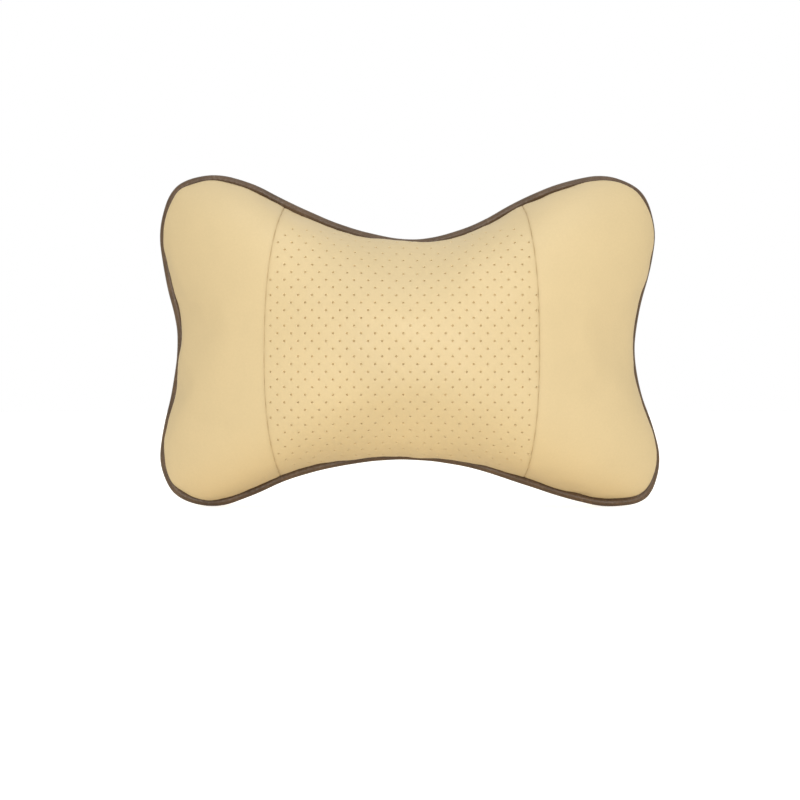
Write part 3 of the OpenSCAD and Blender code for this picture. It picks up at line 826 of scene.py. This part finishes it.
def folded_edges(points, faces, edge_line):
    """Rounds a panel off where it turns in at its edge; returns points, normals and distances."""
    normals = vertex_normals(points, faces)
    away = distances(points, edge_line)
    near = np.clip(FOLD_R - away, 0, FOLD_R)
    drop = FOLD_R - np.sqrt(FOLD_R ** 2 - near ** 2) + DIMPLE * np.exp(-away / DIMPLE_REACH)
    return points - drop[:, None] * normals, normals, away


def filling_points(loop):
    """The points inside a panel's outline: rows along its edge, then a lattice."""
    lattice = hexagon_lattice(loop.min(axis=0), loop.max(axis=0), PANEL_PITCH)
    lattice = lattice[inside(lattice, loop)]
    lattice = lattice[distances(lattice, loop) > EDGE_ROWS[-1] + 0.4 * PANEL_PITCH]
    return np.vstack([edge_rows(loop), lattice])


def hole_circle(radius, across, up):
    """The points of one hole's circle, in two directions."""
    return radius * (np.cos(HOLE_TURN) * across + np.sin(HOLE_TURN) * up)


def hole_walls(middles, across, up, first_rim, first_ring):
    """Rings of points down every hole, the walls between them, and the dark faces deep inside that
    carry painted shade.

    first_rim is the number of the first hole's first rim point, and first_ring that of the first
    point made here.
    """
    rings = []
    walls = []
    dark = []
    for hole, (middle, a, b) in enumerate(zip(middles, across, up)):
        above = first_rim + hole * HOLE_SIDES + np.arange(HOLE_SIDES)
        faces = []
        for radius, depth in HOLE_RINGS:
            below = first_ring + len(rings) * HOLE_SIDES + np.arange(HOLE_SIDES)
            rings.append(middle + hole_circle(radius, a, b) - depth * np.cross(a, b))
            wall = np.column_stack([above, np.roll(above, -1), np.roll(below, -1), below])
            faces += wall.tolist()
            above = below
        walls += faces[:-HOLE_SIDES]
        dark += faces[-HOLE_SIDES:] + [above.tolist()]
    return rings, walls, dark


def hem(points, normals, count, side):
    """The points and faces of the strip turned in along the first count points of a panel."""
    ring = np.arange(count)
    after = (ring + 1) % count
    first = len(points)
    strip = np.column_stack([after, ring, first + ring, first + after])
    if side == BACK:
        strip = strip[:, ::-1]
    return points[:count] - HEM_DEPTH * normals[:count], strip.tolist()


def panel(name, side):
    """One panel of the cover, with its edges turned in and, in the centre, its holes."""
    loop = PANEL_LOOPS[name]
    count = len(loop)
    extra = filling_points(loop)
    rims = []
    if name == PERFORATED:
        centres = hole_centres()
        middles, across, up, step_across, step_up = hole_frames(centres)
        rims = [c + hole_circle(HOLE_RIM_R, a, b) for c, a, b in zip(centres, step_across, step_up)]
        extra = extra[distances(extra, centres) > 1.25 * HOLE_RIM_R]
    domain, faces = triangulated(loop, extra, rims)
    if side.side == BACK:
        faces = faces[:, ::-1]
    edge_line = side.at(resampled(loop, 0.35 * MM, closed=True))
    points, normals, away = folded_edges(side.at(domain), faces, edge_line)
    hem_points, strip = hem(points, normals, count, side.side)
    vertices = [points, hem_points]
    light = faces.tolist() + strip
    dark = []
    if rims:
        rings, walls, dark = hole_walls(middles, across, up, count, len(points) + count)
        vertices += rings
        light += walls
    obj = new_object(name.replace("_panel", "_cover"), np.vstack(vertices), light + dark)
    # Painted shade: how dark the leatherette is painted near its cut edges; the turned-in hem is
    # painted fully dark.
    painted_crease_shade = np.zeros(len(obj.data.vertices))
    painted_crease_shade[:len(points)] = np.exp(-away / CREASE_SHADE_REACH)
    painted_crease_shade[len(points):len(points) + count] = 1
    obj.data.attributes.new("edge", "FLOAT", "POINT").data.foreach_set("value", painted_crease_shade)
    # The faces deep in the holes take the second material, painted dark as shade.
    dark_slot = np.arange(len(obj.data.polygons)) >= len(light)
    obj.data.polygons.foreach_set("material_index", dark_slot.astype(int))
    return obj


def tube_faces(count, sides, closed_path, first=0):
    """The faces of a tube of rings, with a cap at each end unless its path is closed."""
    here = first + np.arange(count)[:, None] * sides + np.arange(sides)
    there = np.roll(here, -1, axis=0)
    faces = np.stack([here, np.roll(here, -1, axis=1), np.roll(there, -1, axis=1), there], axis=-1)
    if closed_path:
        return faces.reshape(-1, 4).tolist()
    return faces[:-1].reshape(-1, 4).tolist() + [here[0][::-1].tolist(), here[-1].tolist()]


def faced_outward(obj):
    """Turns the faces of a closed mesh outward."""
    mesh = bmesh.new()
    mesh.from_mesh(obj.data)
    bmesh.ops.recalc_face_normals(mesh, faces=mesh.faces)
    mesh.to_mesh(obj.data)
    mesh.free()
    return obj


def swept(name, rings, closed_path):
    """A tube through rings of points, given as an array of (rings, points, 3)."""
    count, sides = rings.shape[:2]
    faces = tube_faces(count, sides, closed_path)
    return faced_outward(new_object(name, rings.reshape(-1, 3), faces))


# ---- Piping ----

ARM = COVER_INSET - BEAD_R  # from the cover's rim to the bead's centre
BEAD_SIDES = 17
FLANGE_HALF_T = 0.45 * MM
FLANGE_REACH = 5 * MM  # how far the flange shows between the covers
STITCH_PITCH = 3.2 * MM
CORD_R = 1.25 * MM
CORD_STRAND = 0.15 * MM  # how far the cord's three strands stand out
CORD_TWIST = 9 * MM  # length of one turn
PLACE = np.arange(len(RIM)) / len(RIM)
RIM_LENGTH = np.linalg.norm(np.roll(RIM, -1, axis=0) - RIM, axis=1).sum()


def spread(flat, y):
    """Points in space from flat points and their distances behind the seam plane."""
    return np.column_stack([flat[:, 0], SEAM_Y + y, flat[:, 1]])


def bead_ring(angle, radius):
    """One row of points along the bead, at an angle round its section."""
    lean = LEAN * LEAN_ANGLE
    out = ARM + radius * np.cos(angle + lean)
    y = ARM * np.sin(lean) + radius * np.sin(angle + lean)
    return spread(RIM + out[:, None] * NORMALS, y)


def piping():
    """The brown strip: a bead round the edge, creased where it is sewn, and its flat flange."""
    creases = 1 + 0.022 * wave_noise(PLACE, seed=3, waves=60)
    creases += 0.02 * wave_noise(PLACE, seed=4, waves=9)
    pull = 0.05 * np.sin(2 * math.pi * PLACE * round(RIM_LENGTH / STITCH_PITCH))
    rows = []
    for angle in np.radians(np.linspace(-152, 152, BEAD_SIDES)):
        neck = smooth_step((abs(math.degrees(angle)) - 70) / 80)
        rows.append(bead_ring(angle, BEAD_R * (creases + neck * pull)))
    for inward, y in ((0, 1), (FLANGE_REACH, 1), (FLANGE_REACH, -1), (0, -1)):
        rows.append(spread(RIM - inward * NORMALS, np.full(len(RIM), y * FLANGE_HALF_T)))
    return swept("piping", np.stack(rows, axis=1), True)


def cord_core():
    """The twisted cord inside the piping's bead."""
    twist = 2 * math.pi * PLACE * round(RIM_LENGTH / CORD_TWIST)
    rows = [bead_ring(angle, CORD_R + CORD_STRAND * np.cos(3 * angle + twist))
            for angle in np.linspace(-math.pi, math.pi, 14, endpoint=False)]
    return swept("twisted_cord", np.stack(rows, axis=1), True)


# ---- Band ----

BAND_RIBS = 23
RIB_SIDES = 4


def elastic_band():
    """A ribbed elastic strip, stretched over the back and sewn into both side seams."""
    line = back.band
    step = np.gradient(line, axis=0)
    normal = unit(np.column_stack([-step[:, 1], step[:, 0]]))
    across = np.linspace(0, 1, BAND_RIBS * RIB_SIDES + 1)
    selvage = smooth_step(np.minimum(across, 1 - across) / 0.02)
    ribs = 0.5 + 0.5 * np.cos(2 * math.pi * BAND_RIBS * across)
    top = BAND_T * (0.86 + 0.14 * ribs) * (0.55 + 0.45 * selvage)
    bottom = BAND_T * 0.25 * (1 - selvage)
    z = BAND_LOW.z + (BAND_HIGH.z - BAND_LOW.z) * across
    height = np.concatenate([top, bottom[::-1]])
    level = np.concatenate([z, z[::-1]])
    flat = line[:, None, :] + height[None, :, None] * normal[:, None, :]
    rings = np.stack([flat[:, :, 0], flat[:, :, 1], np.tile(level, (len(line), 1))], axis=-1)
    return swept("elastic_band", rings, False)


# ---- Zip ----

STITCH_L = 2.8 * MM
ZIP_STITCH_PITCH = 3.8 * MM
THREAD_R = 0.27 * MM
STITCH_ARCH = 0.5 * MM  # how far a stitch stands above its ends
STITCH_SUNK = 0.47 * MM  # how deep its ends are sunk
PATCH_GAP = 0.4 * MM  # from a stop to its patch
PATCH_GROWTH = 1 * MM  # how far a patch goes on past the slot's end
PATCH_HALF_T = 0.28 * MM
TAPE_HALF_T = 0.3 * MM
SHARP_ANGLE = math.radians(35)  # an edge at least this sharp is rounded
THREAD_SIDES = 8
TOOTH_ROUNDING = 0.2 * MM
METAL_ROUNDING = 0.22 * MM


def zip_stitches(name, direction):
    """A row of stitches beside the zip, each pulled into the leatherette at its ends."""
    z = ZIP_Z + direction * ((STITCH_LOW.z + STITCH_HIGH.z) / 2 - ZIP_Z)
    t = np.linspace(-1, 1, 9)
    y = ZIP_COVER_Y - STITCH_SUNK + STITCH_ARCH * (1 - t ** 2)
    radius = THREAD_R * np.sqrt(np.clip(1.15 - t ** 2, 0.1, 1))
    turn = np.linspace(0, 2 * math.pi, THREAD_SIDES, endpoint=False)
    section_y = y[:, None] + radius[:, None] * np.sin(turn)
    section_z = z + radius[:, None] * np.cos(turn)
    vertices = []
    faces = []
    for x in np.arange(STITCH_LOW.x + STITCH_L / 2, STITCH_HIGH.x, ZIP_STITCH_PITCH):
        faces += tube_faces(len(t), THREAD_SIDES, False, first=len(vertices) * section_y.size)
        along = np.repeat(x + t * STITCH_L / 2, THREAD_SIDES)
        vertices.append(np.column_stack([along, section_y.ravel(), section_z.ravel()]))
    return faced_outward(new_object(name, np.vstack(vertices), faces))


def end_patch(name, side):
    """A small woven patch sewn over the tapes' ends, past the zip's stops."""
    stop_low, stop_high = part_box({1: "zip_closed_end_stops", -1: "zip_open_end_stop"}[side])
    inner = (stop_low.x if side == -1 else stop_high.x) + side * PATCH_GAP
    outer = side * (SLOT_END + PATCH_GROWTH)
    patch_y = (stop_low.y + stop_high.y) / 2 + TAPE_HALF_T
    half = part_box("zip_tape_upper")[0].z - ZIP_Z + 1.6 * MM
    turn = np.linspace(0, 2 * math.pi, 16, endpoint=False)
    section = np.column_stack([np.cos(turn), np.sin(turn)])
    section = np.sign(section) * np.abs(section) ** 0.45
    rings = []
    for t in np.linspace(-1, 1, 9):
        x = (inner + outer) / 2 + t * (outer - inner) / 2
        full = (1.02 - t ** 8) ** 0.25
        y = patch_y + PATCH_HALF_T * (1 + full * section[:, 1])
        z = ZIP_Z + half * (0.9 + 0.1 * full) * section[:, 0]
        rings.append(np.column_stack([np.full(len(turn), x), y, z]))
    return swept(name, np.stack(rings), False)


def softened(obj, width):
    """Rounds the edges of a hard CAD node, or of a copy of one."""
    weld = obj.modifiers.new("Weld", "WELD")
    weld.merge_threshold = 0.01 * MM
    bevel = obj.modifiers.new("Bevel", "BEVEL")
    bevel.width = width
    bevel.segments = 2
    bevel.limit_method = "ANGLE"
    bevel.angle_limit = SHARP_ANGLE
    bevel.harden_normals = True
    return obj


def parting_teeth(name, node):
    """A row of teeth like the CAD's, with rounded edges, as its own mesh."""
    obj = bpy.data.objects.new(name, frame["nodes"][node].data.copy())
    bpy.context.scene.collection.objects.link(obj)
    softened(obj, TOOTH_ROUNDING)
    made = obj.evaluated_get(bpy.context.evaluated_depsgraph_get())
    rounded = bpy.data.meshes.new_from_object(made)
    obj.modifiers.clear()
    obj.data = rounded
    return obj


def parts_with_slider(obj):
    """Gives a row of teeth its own copy of its mesh."""
    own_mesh(obj)


# ---- Inner bag and filling ----

BAG_SHARE = 0.86  # the bag's size as a share of the cover's
BAG_LUMPS = 0.8 * MM
FILLING_SHARE = 0.82
FILLING_LUMPS = 1.5 * MM
SKIN_STEP = 3 * MM  # spacing round the edge
SKIN_PITCH = 4 * MM  # and over the rest


def inner_skin(name, side, share, lumps):
    """One half of a soft body inside the cover, shrunk towards the seam plane's middle."""
    ring = resampled(RIM, SKIN_STEP, closed=True)
    lattice = hexagon_lattice(RIM.min(axis=0), RIM.max(axis=0), SKIN_PITCH)
    lattice = lattice[share_out(lattice) < 0.965]
    domain, faces = triangulated(ring, lattice)
    points = side.at(domain)
    middle = np.array([0, SEAM_Y, 0])
    points = middle + (points - middle) * [share, share * 0.95, share]
    wave = np.sin(points[:, 0] / (7 * MM) + 2 * np.sin(points[:, 2] / (11 * MM)))
    wave *= np.sin(points[:, 2] / (6 * MM) + 2 * np.sin(points[:, 0] / (9 * MM)))
    points[:, 1] -= side.side * lumps * (1 + wave) * smooth_step((1 - share_out(domain)) / 0.2)
    points[:len(ring), 1] = SEAM_Y + side.side * 0.1 * MM
    return new_object(name, points, faces if side.side == FRONT else faces[:, ::-1])


# ---- Materials ----

# Colours, as linear red, green and blue.
BEIGE = (0.695, 0.545, 0.300)
CREASE_PAINTED_SHADE = (0.40, 0.27, 0.12)  # painted shade: the beige darkened in a seam's folds
BROWN = (0.096, 0.055, 0.026)
SCUFFED = (0.22, 0.155, 0.10)
# The holes' deepest faces: the lining and sponge, made this dark as painted shade inside the holes.
HOLE_SHADE_DARK = (0.05, 0.028, 0.013)
HOLE_SHADE_BROWN = (0.10, 0.06, 0.03)
TAPE_BROWN = (0.30, 0.19, 0.10)
ELASTIC_BLACK = (0.030, 0.026, 0.023)
ELASTIC_FUZZ = (0.085, 0.077, 0.07)
NYLON_BROWN = (0.215, 0.130, 0.055)
BRONZE_DARK = (0.21, 0.132, 0.058)
BRONZE_LIGHT = (0.31, 0.2, 0.09)
BRONZE_RUBBED = (0.68, 0.5, 0.27)
THREAD_TAN = (0.74, 0.55, 0.29)
COTTON = (0.85, 0.81, 0.7)
BAG_WHITE = (0.9, 0.9, 0.87)
FIBRE_WHITE = (0.95, 0.95, 0.93)
PAPER_DARK = (0.93, 0.88, 0.78)
PAPER_LIGHT = (0.95, 0.90, 0.80)
WHITE = (1, 1, 1, 1)


def times(colour, factor):
    """A colour made darker or lighter."""
    return tuple(min(1.0, c * factor) for c in colour)


def add_node(tree, kind, inputs=None, **settings):
    """A shader node with its settings, and its inputs set to values or linked to sockets."""
    made = tree.nodes.new("ShaderNode" + kind)
    for key, value in settings.items():
        setattr(made, key, value)
    for key, value in (inputs or {}).items():
        if isinstance(value, bpy.types.NodeSocket):
            tree.links.new(value, made.inputs[key])
        else:
            made.inputs[key].default_value = value
    return made


class Finish:
    """A material's node tree, with short calls for what the materials here share."""

    def __init__(self, name, roughness, metallic=0.0, specular=0.5):
        self.material = bpy.data.materials.new(name)
        self.material.use_nodes = True
        self.tree = self.material.node_tree
        self.shader = self.tree.nodes["Principled BSDF"]
        self.fix(Roughness=roughness, Metallic=metallic, Specular_IOR_Level=specular)
        self.place = self.node("TexCoord").outputs["Object"]

    def fix(self, **values):
        """Sets the shader's own sockets, named with _ for each space."""
        for key, value in values.items():
            self.shader.inputs[key.replace("_", " ")].default_value = value

    def link(self, socket, value):
        self.tree.links.new(value, self.shader.inputs[socket])

    def node(self, kind, inputs=None, **settings):
        return add_node(self.tree, kind, inputs, **settings)

    def noise(self, scale, detail=3.0, stretch=None):
        place = self.place
        if stretch:
            place = self.node("Mapping", {"Vector": place, "Scale": stretch}).outputs[0]
        return self.node("TexNoise", {"Vector": place, "Scale": scale, "Detail": detail}).outputs["Fac"]

    def cells(self, scale):
        return self.node("TexVoronoi", {"Vector": self.place, "Scale": scale}).outputs["Distance"]

    def threads(self, spacing, direction):
        """Waves of one direction, one every spacing metres."""
        inputs = {"Vector": self.place, "Scale": 2 * math.pi / (20 * spacing), "Distortion": 0.4,
                  "Detail": 1.0}
        return self.node("TexWave", inputs, bands_direction=direction).outputs["Fac"]

    def spread(self, value, low, high, from_low=0.3, from_high=0.7):
        """The value, stretched from one range to another and kept within it."""
        inputs = {"Value": value, "From Min": from_low, "From Max": from_high,
                  "To Min": low, "To Max": high}
        return self.node("MapRange", inputs).outputs[0]

    def scaled(self, value, factor):
        return self.node("Math", {0: value, 1: factor}, operation="MULTIPLY").outputs[0]

    def plus(self, first, second, weight):
        return self.node("Math", {0: second, 1: weight, 2: first}, operation="MULTIPLY_ADD").outputs[0]

    def mix(self, share, first, second):
        """From the first colour to the second, as the share goes from 0 to 1."""
        inputs = {"Factor": share}
        for index, colour in ((6, first), (7, second)):
            inputs[index] = colour if isinstance(colour, bpy.types.NodeSocket) else (*colour, 1)
        return self.node("Mix", inputs, data_type="RGBA").outputs[2]

    def colour(self, share, first, second):
        """Gives the surface a mix of two colours."""
        self.link("Base Color", self.mix(share, first, second))

    def uneven_roughness(self, low, high, scale, detail=3.0, stretch=None):
        self.link("Roughness", self.spread(self.noise(scale, detail, stretch), low, high))

    def bump(self, height, distance, strength=1.0):
        inputs = {"Height": height, "Distance": distance, "Strength": strength}
        self.link("Normal", self.node("Bump", inputs).outputs["Normal"])


def leatherette():
    """Smooth matte synthetic leather: fine pebbles, faint mottling, and painted shade darkening it in
    its folds.
    """
    finish = Finish("beige_leatherette", 0.5, specular=0.42)
    mottle = finish.spread(finish.noise(22, 4.0), 0, 1)
    fine = finish.spread(finish.noise(900, 2.0), 0, 1)
    tone = finish.mix(mottle, times(BEIGE, 0.965), times(BEIGE, 1.03))
    tone = finish.mix(finish.scaled(fine, 0.18), tone, times(BEIGE, 0.86))
    # Painted shade: the edge attribute darkens the beige near seams, rims and hems.
    edge = finish.node("Attribute", attribute_name="edge").outputs["Fac"]
    finish.colour(finish.scaled(edge, 0.5), tone, CREASE_PAINTED_SHADE)
    finish.uneven_roughness(0.44, 0.56, 60)
    grain = finish.plus(finish.cells(1350), finish.noise(2600, 2.0), 0.35)
    finish.bump(finish.plus(grain, finish.noise(260), 0.8), 0.05 * MM, 0.55)
    return finish.material


def hole_lining_and_shade():
    """The cut edge of the leatherette and the sponge at the bottom of a hole, made darker as painted
    shade inside the hole.
    """
    finish = Finish("hole_lining_and_shade", 0.9, specular=0.1)
    finish.colour(finish.noise(4000), HOLE_SHADE_DARK, HOLE_SHADE_BROWN)
    finish.bump(finish.noise(5000), 0.05 * MM)
    return finish.material


def brown_leatherette():
    """Scuffed synthetic leather with a faint sheen."""
    finish = Finish("brown_leatherette", 0.45)
    finish.fix(Sheen_Weight=0.25, Sheen_Roughness=0.4)
    blotches = finish.spread(finish.noise(90, 5.0), 0, 1)
    scuffs = finish.spread(finish.noise(500, 5.0), 0, 0.4, 0.55, 0.75)
    finish.colour(scuffs, finish.mix(blotches, times(BROWN, 0.8), times(BROWN, 1.25)), SCUFFED)
    finish.uneven_roughness(0.38, 0.55, 140)
    finish.bump(finish.plus(finish.cells(1500), finish.noise(380, 4.0), 1.2), 0.07 * MM, 0.6)
    return finish.material


def tape_weave():
    """A fine plain weave, a little uneven."""
    finish = Finish("zip_tape_weave", 0.8, specular=0.25)
    finish.fix(Sheen_Weight=0.2)
    weave = finish.plus(finish.threads(0.55 * MM, "X"), finish.threads(0.55 * MM, "Z"), 1.0)
    tone = finish.mix(finish.spread(weave, 0, 1, 0.4, 1.6), times(TAPE_BROWN, 0.72),
                      times(TAPE_BROWN, 1.12))
    finish.colour(finish.spread(finish.noise(120), 0, 0.3), tone, times(TAPE_BROWN, 0.8))
    finish.bump(finish.plus(weave, finish.noise(3000), 0.6), 0.12 * MM, 0.7)
    return finish.material


def elastic():
    """Ribbed elastic: rubber ribs wrapped in fine cross threads."""
    finish = Finish("ribbed_elastic", 0.72, specular=0.3)
    finish.fix(Sheen_Weight=0.35, Sheen_Roughness=0.5)
    wrap = finish.threads(0.7 * MM, "X")
    tone = finish.mix(finish.spread(wrap, 0, 1, 0.2, 0.8), times(ELASTIC_BLACK, 0.55),
                      times(ELASTIC_BLACK, 1.9))
    finish.colour(finish.spread(finish.noise(900, 4.0), 0, 0.5, 0.5, 0.8), tone, ELASTIC_FUZZ)
    finish.bump(finish.plus(wrap, finish.noise(2400), 0.5), 0.12 * MM, 0.8)
    return finish.material


def bronze():
    """Antique bronze, brighter where handling has rubbed its edges."""
    finish = Finish("antique_bronze", 0.36, metallic=1.0)
    rounded = finish.node("Bevel", {"Radius": 0.35 * MM}, samples=6).outputs["Normal"]
    normal = finish.node("NewGeometry").outputs["Normal"]
    same = finish.node("VectorMath", {0: rounded, 1: normal}, operation="DOT_PRODUCT")
    rubbed = finish.spread(same.outputs["Value"], 0, 0.8, 1.0, 0.93)
    patina = finish.mix(finish.spread(finish.noise(260), 0, 1), BRONZE_DARK, BRONZE_LIGHT)
    finish.colour(rubbed, patina, BRONZE_RUBBED)
    finish.uneven_roughness(0.26, 0.5, 1100, 4.0, (1, 1, 6))
    finish.bump(finish.noise(2600, 3.0, (0.3, 1, 1)), 0.02 * MM, 0.5)
    return finish.material


def nylon():
    """Moulded nylon, slightly uneven in tone and shine."""
    finish = Finish("moulded_nylon", 0.38)
    finish.colour(finish.noise(500), times(NYLON_BROWN, 0.8), times(NYLON_BROWN, 1.2))
    finish.uneven_roughness(0.3, 0.5, 900)
    finish.bump(finish.noise(1800, 2.0), 0.02 * MM, 0.5)
    return finish.material


def thread():
    """Twisted sewing thread."""
    finish = Finish("sewing_thread", 0.6, specular=0.35)
    twist = finish.node("TexWave", {"Vector": finish.place, "Scale": 700, "Distortion": 1.0},
                        bands_direction="DIAGONAL").outputs["Fac"]
    finish.colour(twist, times(THREAD_TAN, 0.7), times(THREAD_TAN, 1.08))
    finish.bump(twist, 0.06 * MM, 0.8)
    return finish.material


def felted(name, colour, scale):
    """Pale inner fabric or fibre, with a felted surface."""
    finish = Finish(name, 0.9, specular=0.2)
    felt = finish.plus(finish.noise(scale, 5.0), finish.cells(scale / 2), 0.5)
    finish.colour(finish.spread(felt, 0, 1, 0.3, 1.0), times(colour, 0.88), colour)
    finish.bump(felt, 0.2 * MM, 0.8)
    return finish.material


# ---- Putting it together ----

def place(obj, slot, *materials, replaces=()):
    """Gives a piece its materials and lets it ride on the cover; the slot is not used."""
    obj.data.materials.clear()
    for material in materials:
        obj.data.materials.append(material)
    if "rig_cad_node" not in obj:
        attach(obj, BODY)
    if replaces:
        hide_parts(*replaces)
    return obj


plain = leatherette()
lining_and_hole_shade = hole_lining_and_shade()
for name in PANEL_LOOPS:
    piece = panel(name, front if name.startswith("front") else back)
    slot, materials = "leatherette", [plain]
    if name == PERFORATED:
        slot, materials = "perforated_leatherette", [plain, lining_and_hole_shade]
    place(piece, slot, *materials, replaces=[name, name.replace("panel", "sponge")])

place(piping(), "brown_leatherette", brown_leatherette(), replaces=["piping_strip"])
place(cord_core(), "cotton_cord", felted("cotton_cord", COTTON, 900), replaces=["piping_cord"])
place(elastic_band(), "elastic", elastic(), replaces=["headrest_band"])

stitch_thread = thread()
tape = tape_weave()
teeth = nylon()
metal = bronze()
for level, direction in (("upper", 1), ("lower", -1)):
    place(zip_stitches(f"zip_stitches_{level}", direction), "thread", stitch_thread,
          replaces=[f"zip_stitching_{level}"])
    place(frame["nodes"][f"zip_tape_{level}"], "zip_tape", tape)
    row = place(parting_teeth(f"zip_moulded_teeth_{level}", f"zip_teeth_{level}"), "zip_teeth", teeth,
                replaces=[f"zip_teeth_{level}"])
    parts_with_slider(row)
place(end_patch("zip_end_patch_left", -1), "zip_tape", tape)
place(end_patch("zip_end_patch_right", 1), "zip_tape", tape)
for node in ("zip_closed_end_stops", "zip_open_end_stop", "zip_slider", "zip_pull_tab"):
    place(softened(frame["nodes"][node], METAL_ROUNDING), "bronze", metal)

bag_cloth = felted("non_woven_bag", BAG_WHITE, 700)
fibre = felted("hollow_fibre", FIBRE_WHITE, 250)
for half, side in (("front", front), ("back", back)):
    bag = inner_skin(f"bag_{half}", side, BAG_SHARE, BAG_LUMPS)
    place(bag, "inner_bag", bag_cloth, replaces=[f"inner_bag_{half}"])
    filling = inner_skin(f"filling_{half}", side, FILLING_SHARE, FILLING_LUMPS)
    place(filling, "fibre", fibre, replaces=["fibre_fill"] if half == "front" else [])

# ---- Stage ----

FLOOR_R = 1.6
FLOOR_GAP = 0.2 * MM  # below the pillow
FLOOR_GLOW = 0.7  # as the camera sees it
FLOOR_LIGHT = 0.15  # as it lights the pillow
ROOM_LEVEL = 0.86
SIDE_LEVEL = 0.48  # the room's light from the far left and right, as a share
CAMERA_DISTANCE = 1.2
FOCAL_LENGTH = 100  # in millimetres, on a film 36 wide
SHIFT = (-0.0129, -0.0737)  # the pillow stands left of the picture's middle, and high


def paper_floor():
    """Pale paper, which the camera sees as nearly white."""
    finish = Finish("studio_floor", 0.9, specular=0.05)
    finish.colour(finish.noise(3.0), PAPER_DARK, PAPER_LIGHT)
    finish.fix(Emission_Color=WHITE)
    seen = finish.node("LightPath").outputs["Is Camera Ray"]
    finish.link("Emission Strength", finish.spread(seen, FLOOR_LIGHT, FLOOR_GLOW, 0, 1))
    return finish.material


def floor():
    """A round pale floor at the pillow's lowest point."""
    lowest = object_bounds()[0].z
    turn = np.linspace(0, 2 * math.pi, 96, endpoint=False)
    ring = np.column_stack([np.cos(turn), np.sin(turn), np.zeros(len(turn))]) * FLOOR_R
    obj = new_object("floor", ring + [0, 0, lowest - FLOOR_GAP], [range(len(turn))])
    obj.data.materials.append(paper_floor())
    obj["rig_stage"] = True


def soft_light(name, place_at, size, watts):
    """A round soft lamp that faces the pillow."""
    light = bpy.data.lights.new(name, "AREA")
    light.shape = "DISK"
    light.size = size
    light.energy = watts
    obj = bpy.data.objects.new(name, light)
    obj.location = place_at
    aim = Vector((0, SEAM_Y, 0)) - obj.location
    obj.rotation_euler = aim.to_track_quat("-Z", "Y").to_euler()
    bpy.context.scene.collection.objects.link(obj)


def white_room():
    """White light from all round, weaker from the sides, and a white background."""
    world = bpy.data.worlds.new("room")
    world.use_nodes = True
    tree = world.node_tree
    direction = add_node(tree, "TexCoord").outputs["Generated"]
    across = add_node(tree, "SeparateXYZ", {"Vector": direction}).outputs["X"]
    sideways = add_node(tree, "Math", {0: across}, operation="ABSOLUTE").outputs[0]
    room = {"Value": sideways, "From Min": 0.25, "To Min": ROOM_LEVEL,
            "To Max": ROOM_LEVEL * SIDE_LEVEL}
    seen = add_node(tree, "LightPath").outputs["Is Camera Ray"]
    level = {"Value": seen, "To Min": add_node(tree, "MapRange", room).outputs[0], "To Max": 1.0}
    background = tree.nodes["Background"]
    background.inputs["Color"].default_value = WHITE
    tree.links.new(add_node(tree, "MapRange", level).outputs[0], background.inputs["Strength"])
    bpy.context.scene.world = world


def photo_camera():
    """The camera, straight in front of the pillow as in the photograph."""
    data = bpy.data.cameras.new("camera")
    data.lens = FOCAL_LENGTH
    data.sensor_width = 36
    data.shift_x, data.shift_y = SHIFT
    camera = bpy.data.objects.new("camera", data)
    camera.location = (0, SEAM_Y - CAMERA_DISTANCE, 0)
    camera.rotation_euler = (math.pi / 2, 0, 0)
    bpy.context.scene.collection.objects.link(camera)
    bpy.context.scene.camera = camera
    bpy.context.scene.view_settings.view_transform = "Standard"


floor()
soft_light("front_softbox", (0.1, SEAM_Y - 1.7, 0.15), size=0.7, watts=10)
soft_light("top_softbox", (0.1, SEAM_Y - 0.7, 1.3), size=1.0, watts=3)
white_room()
photo_camera()
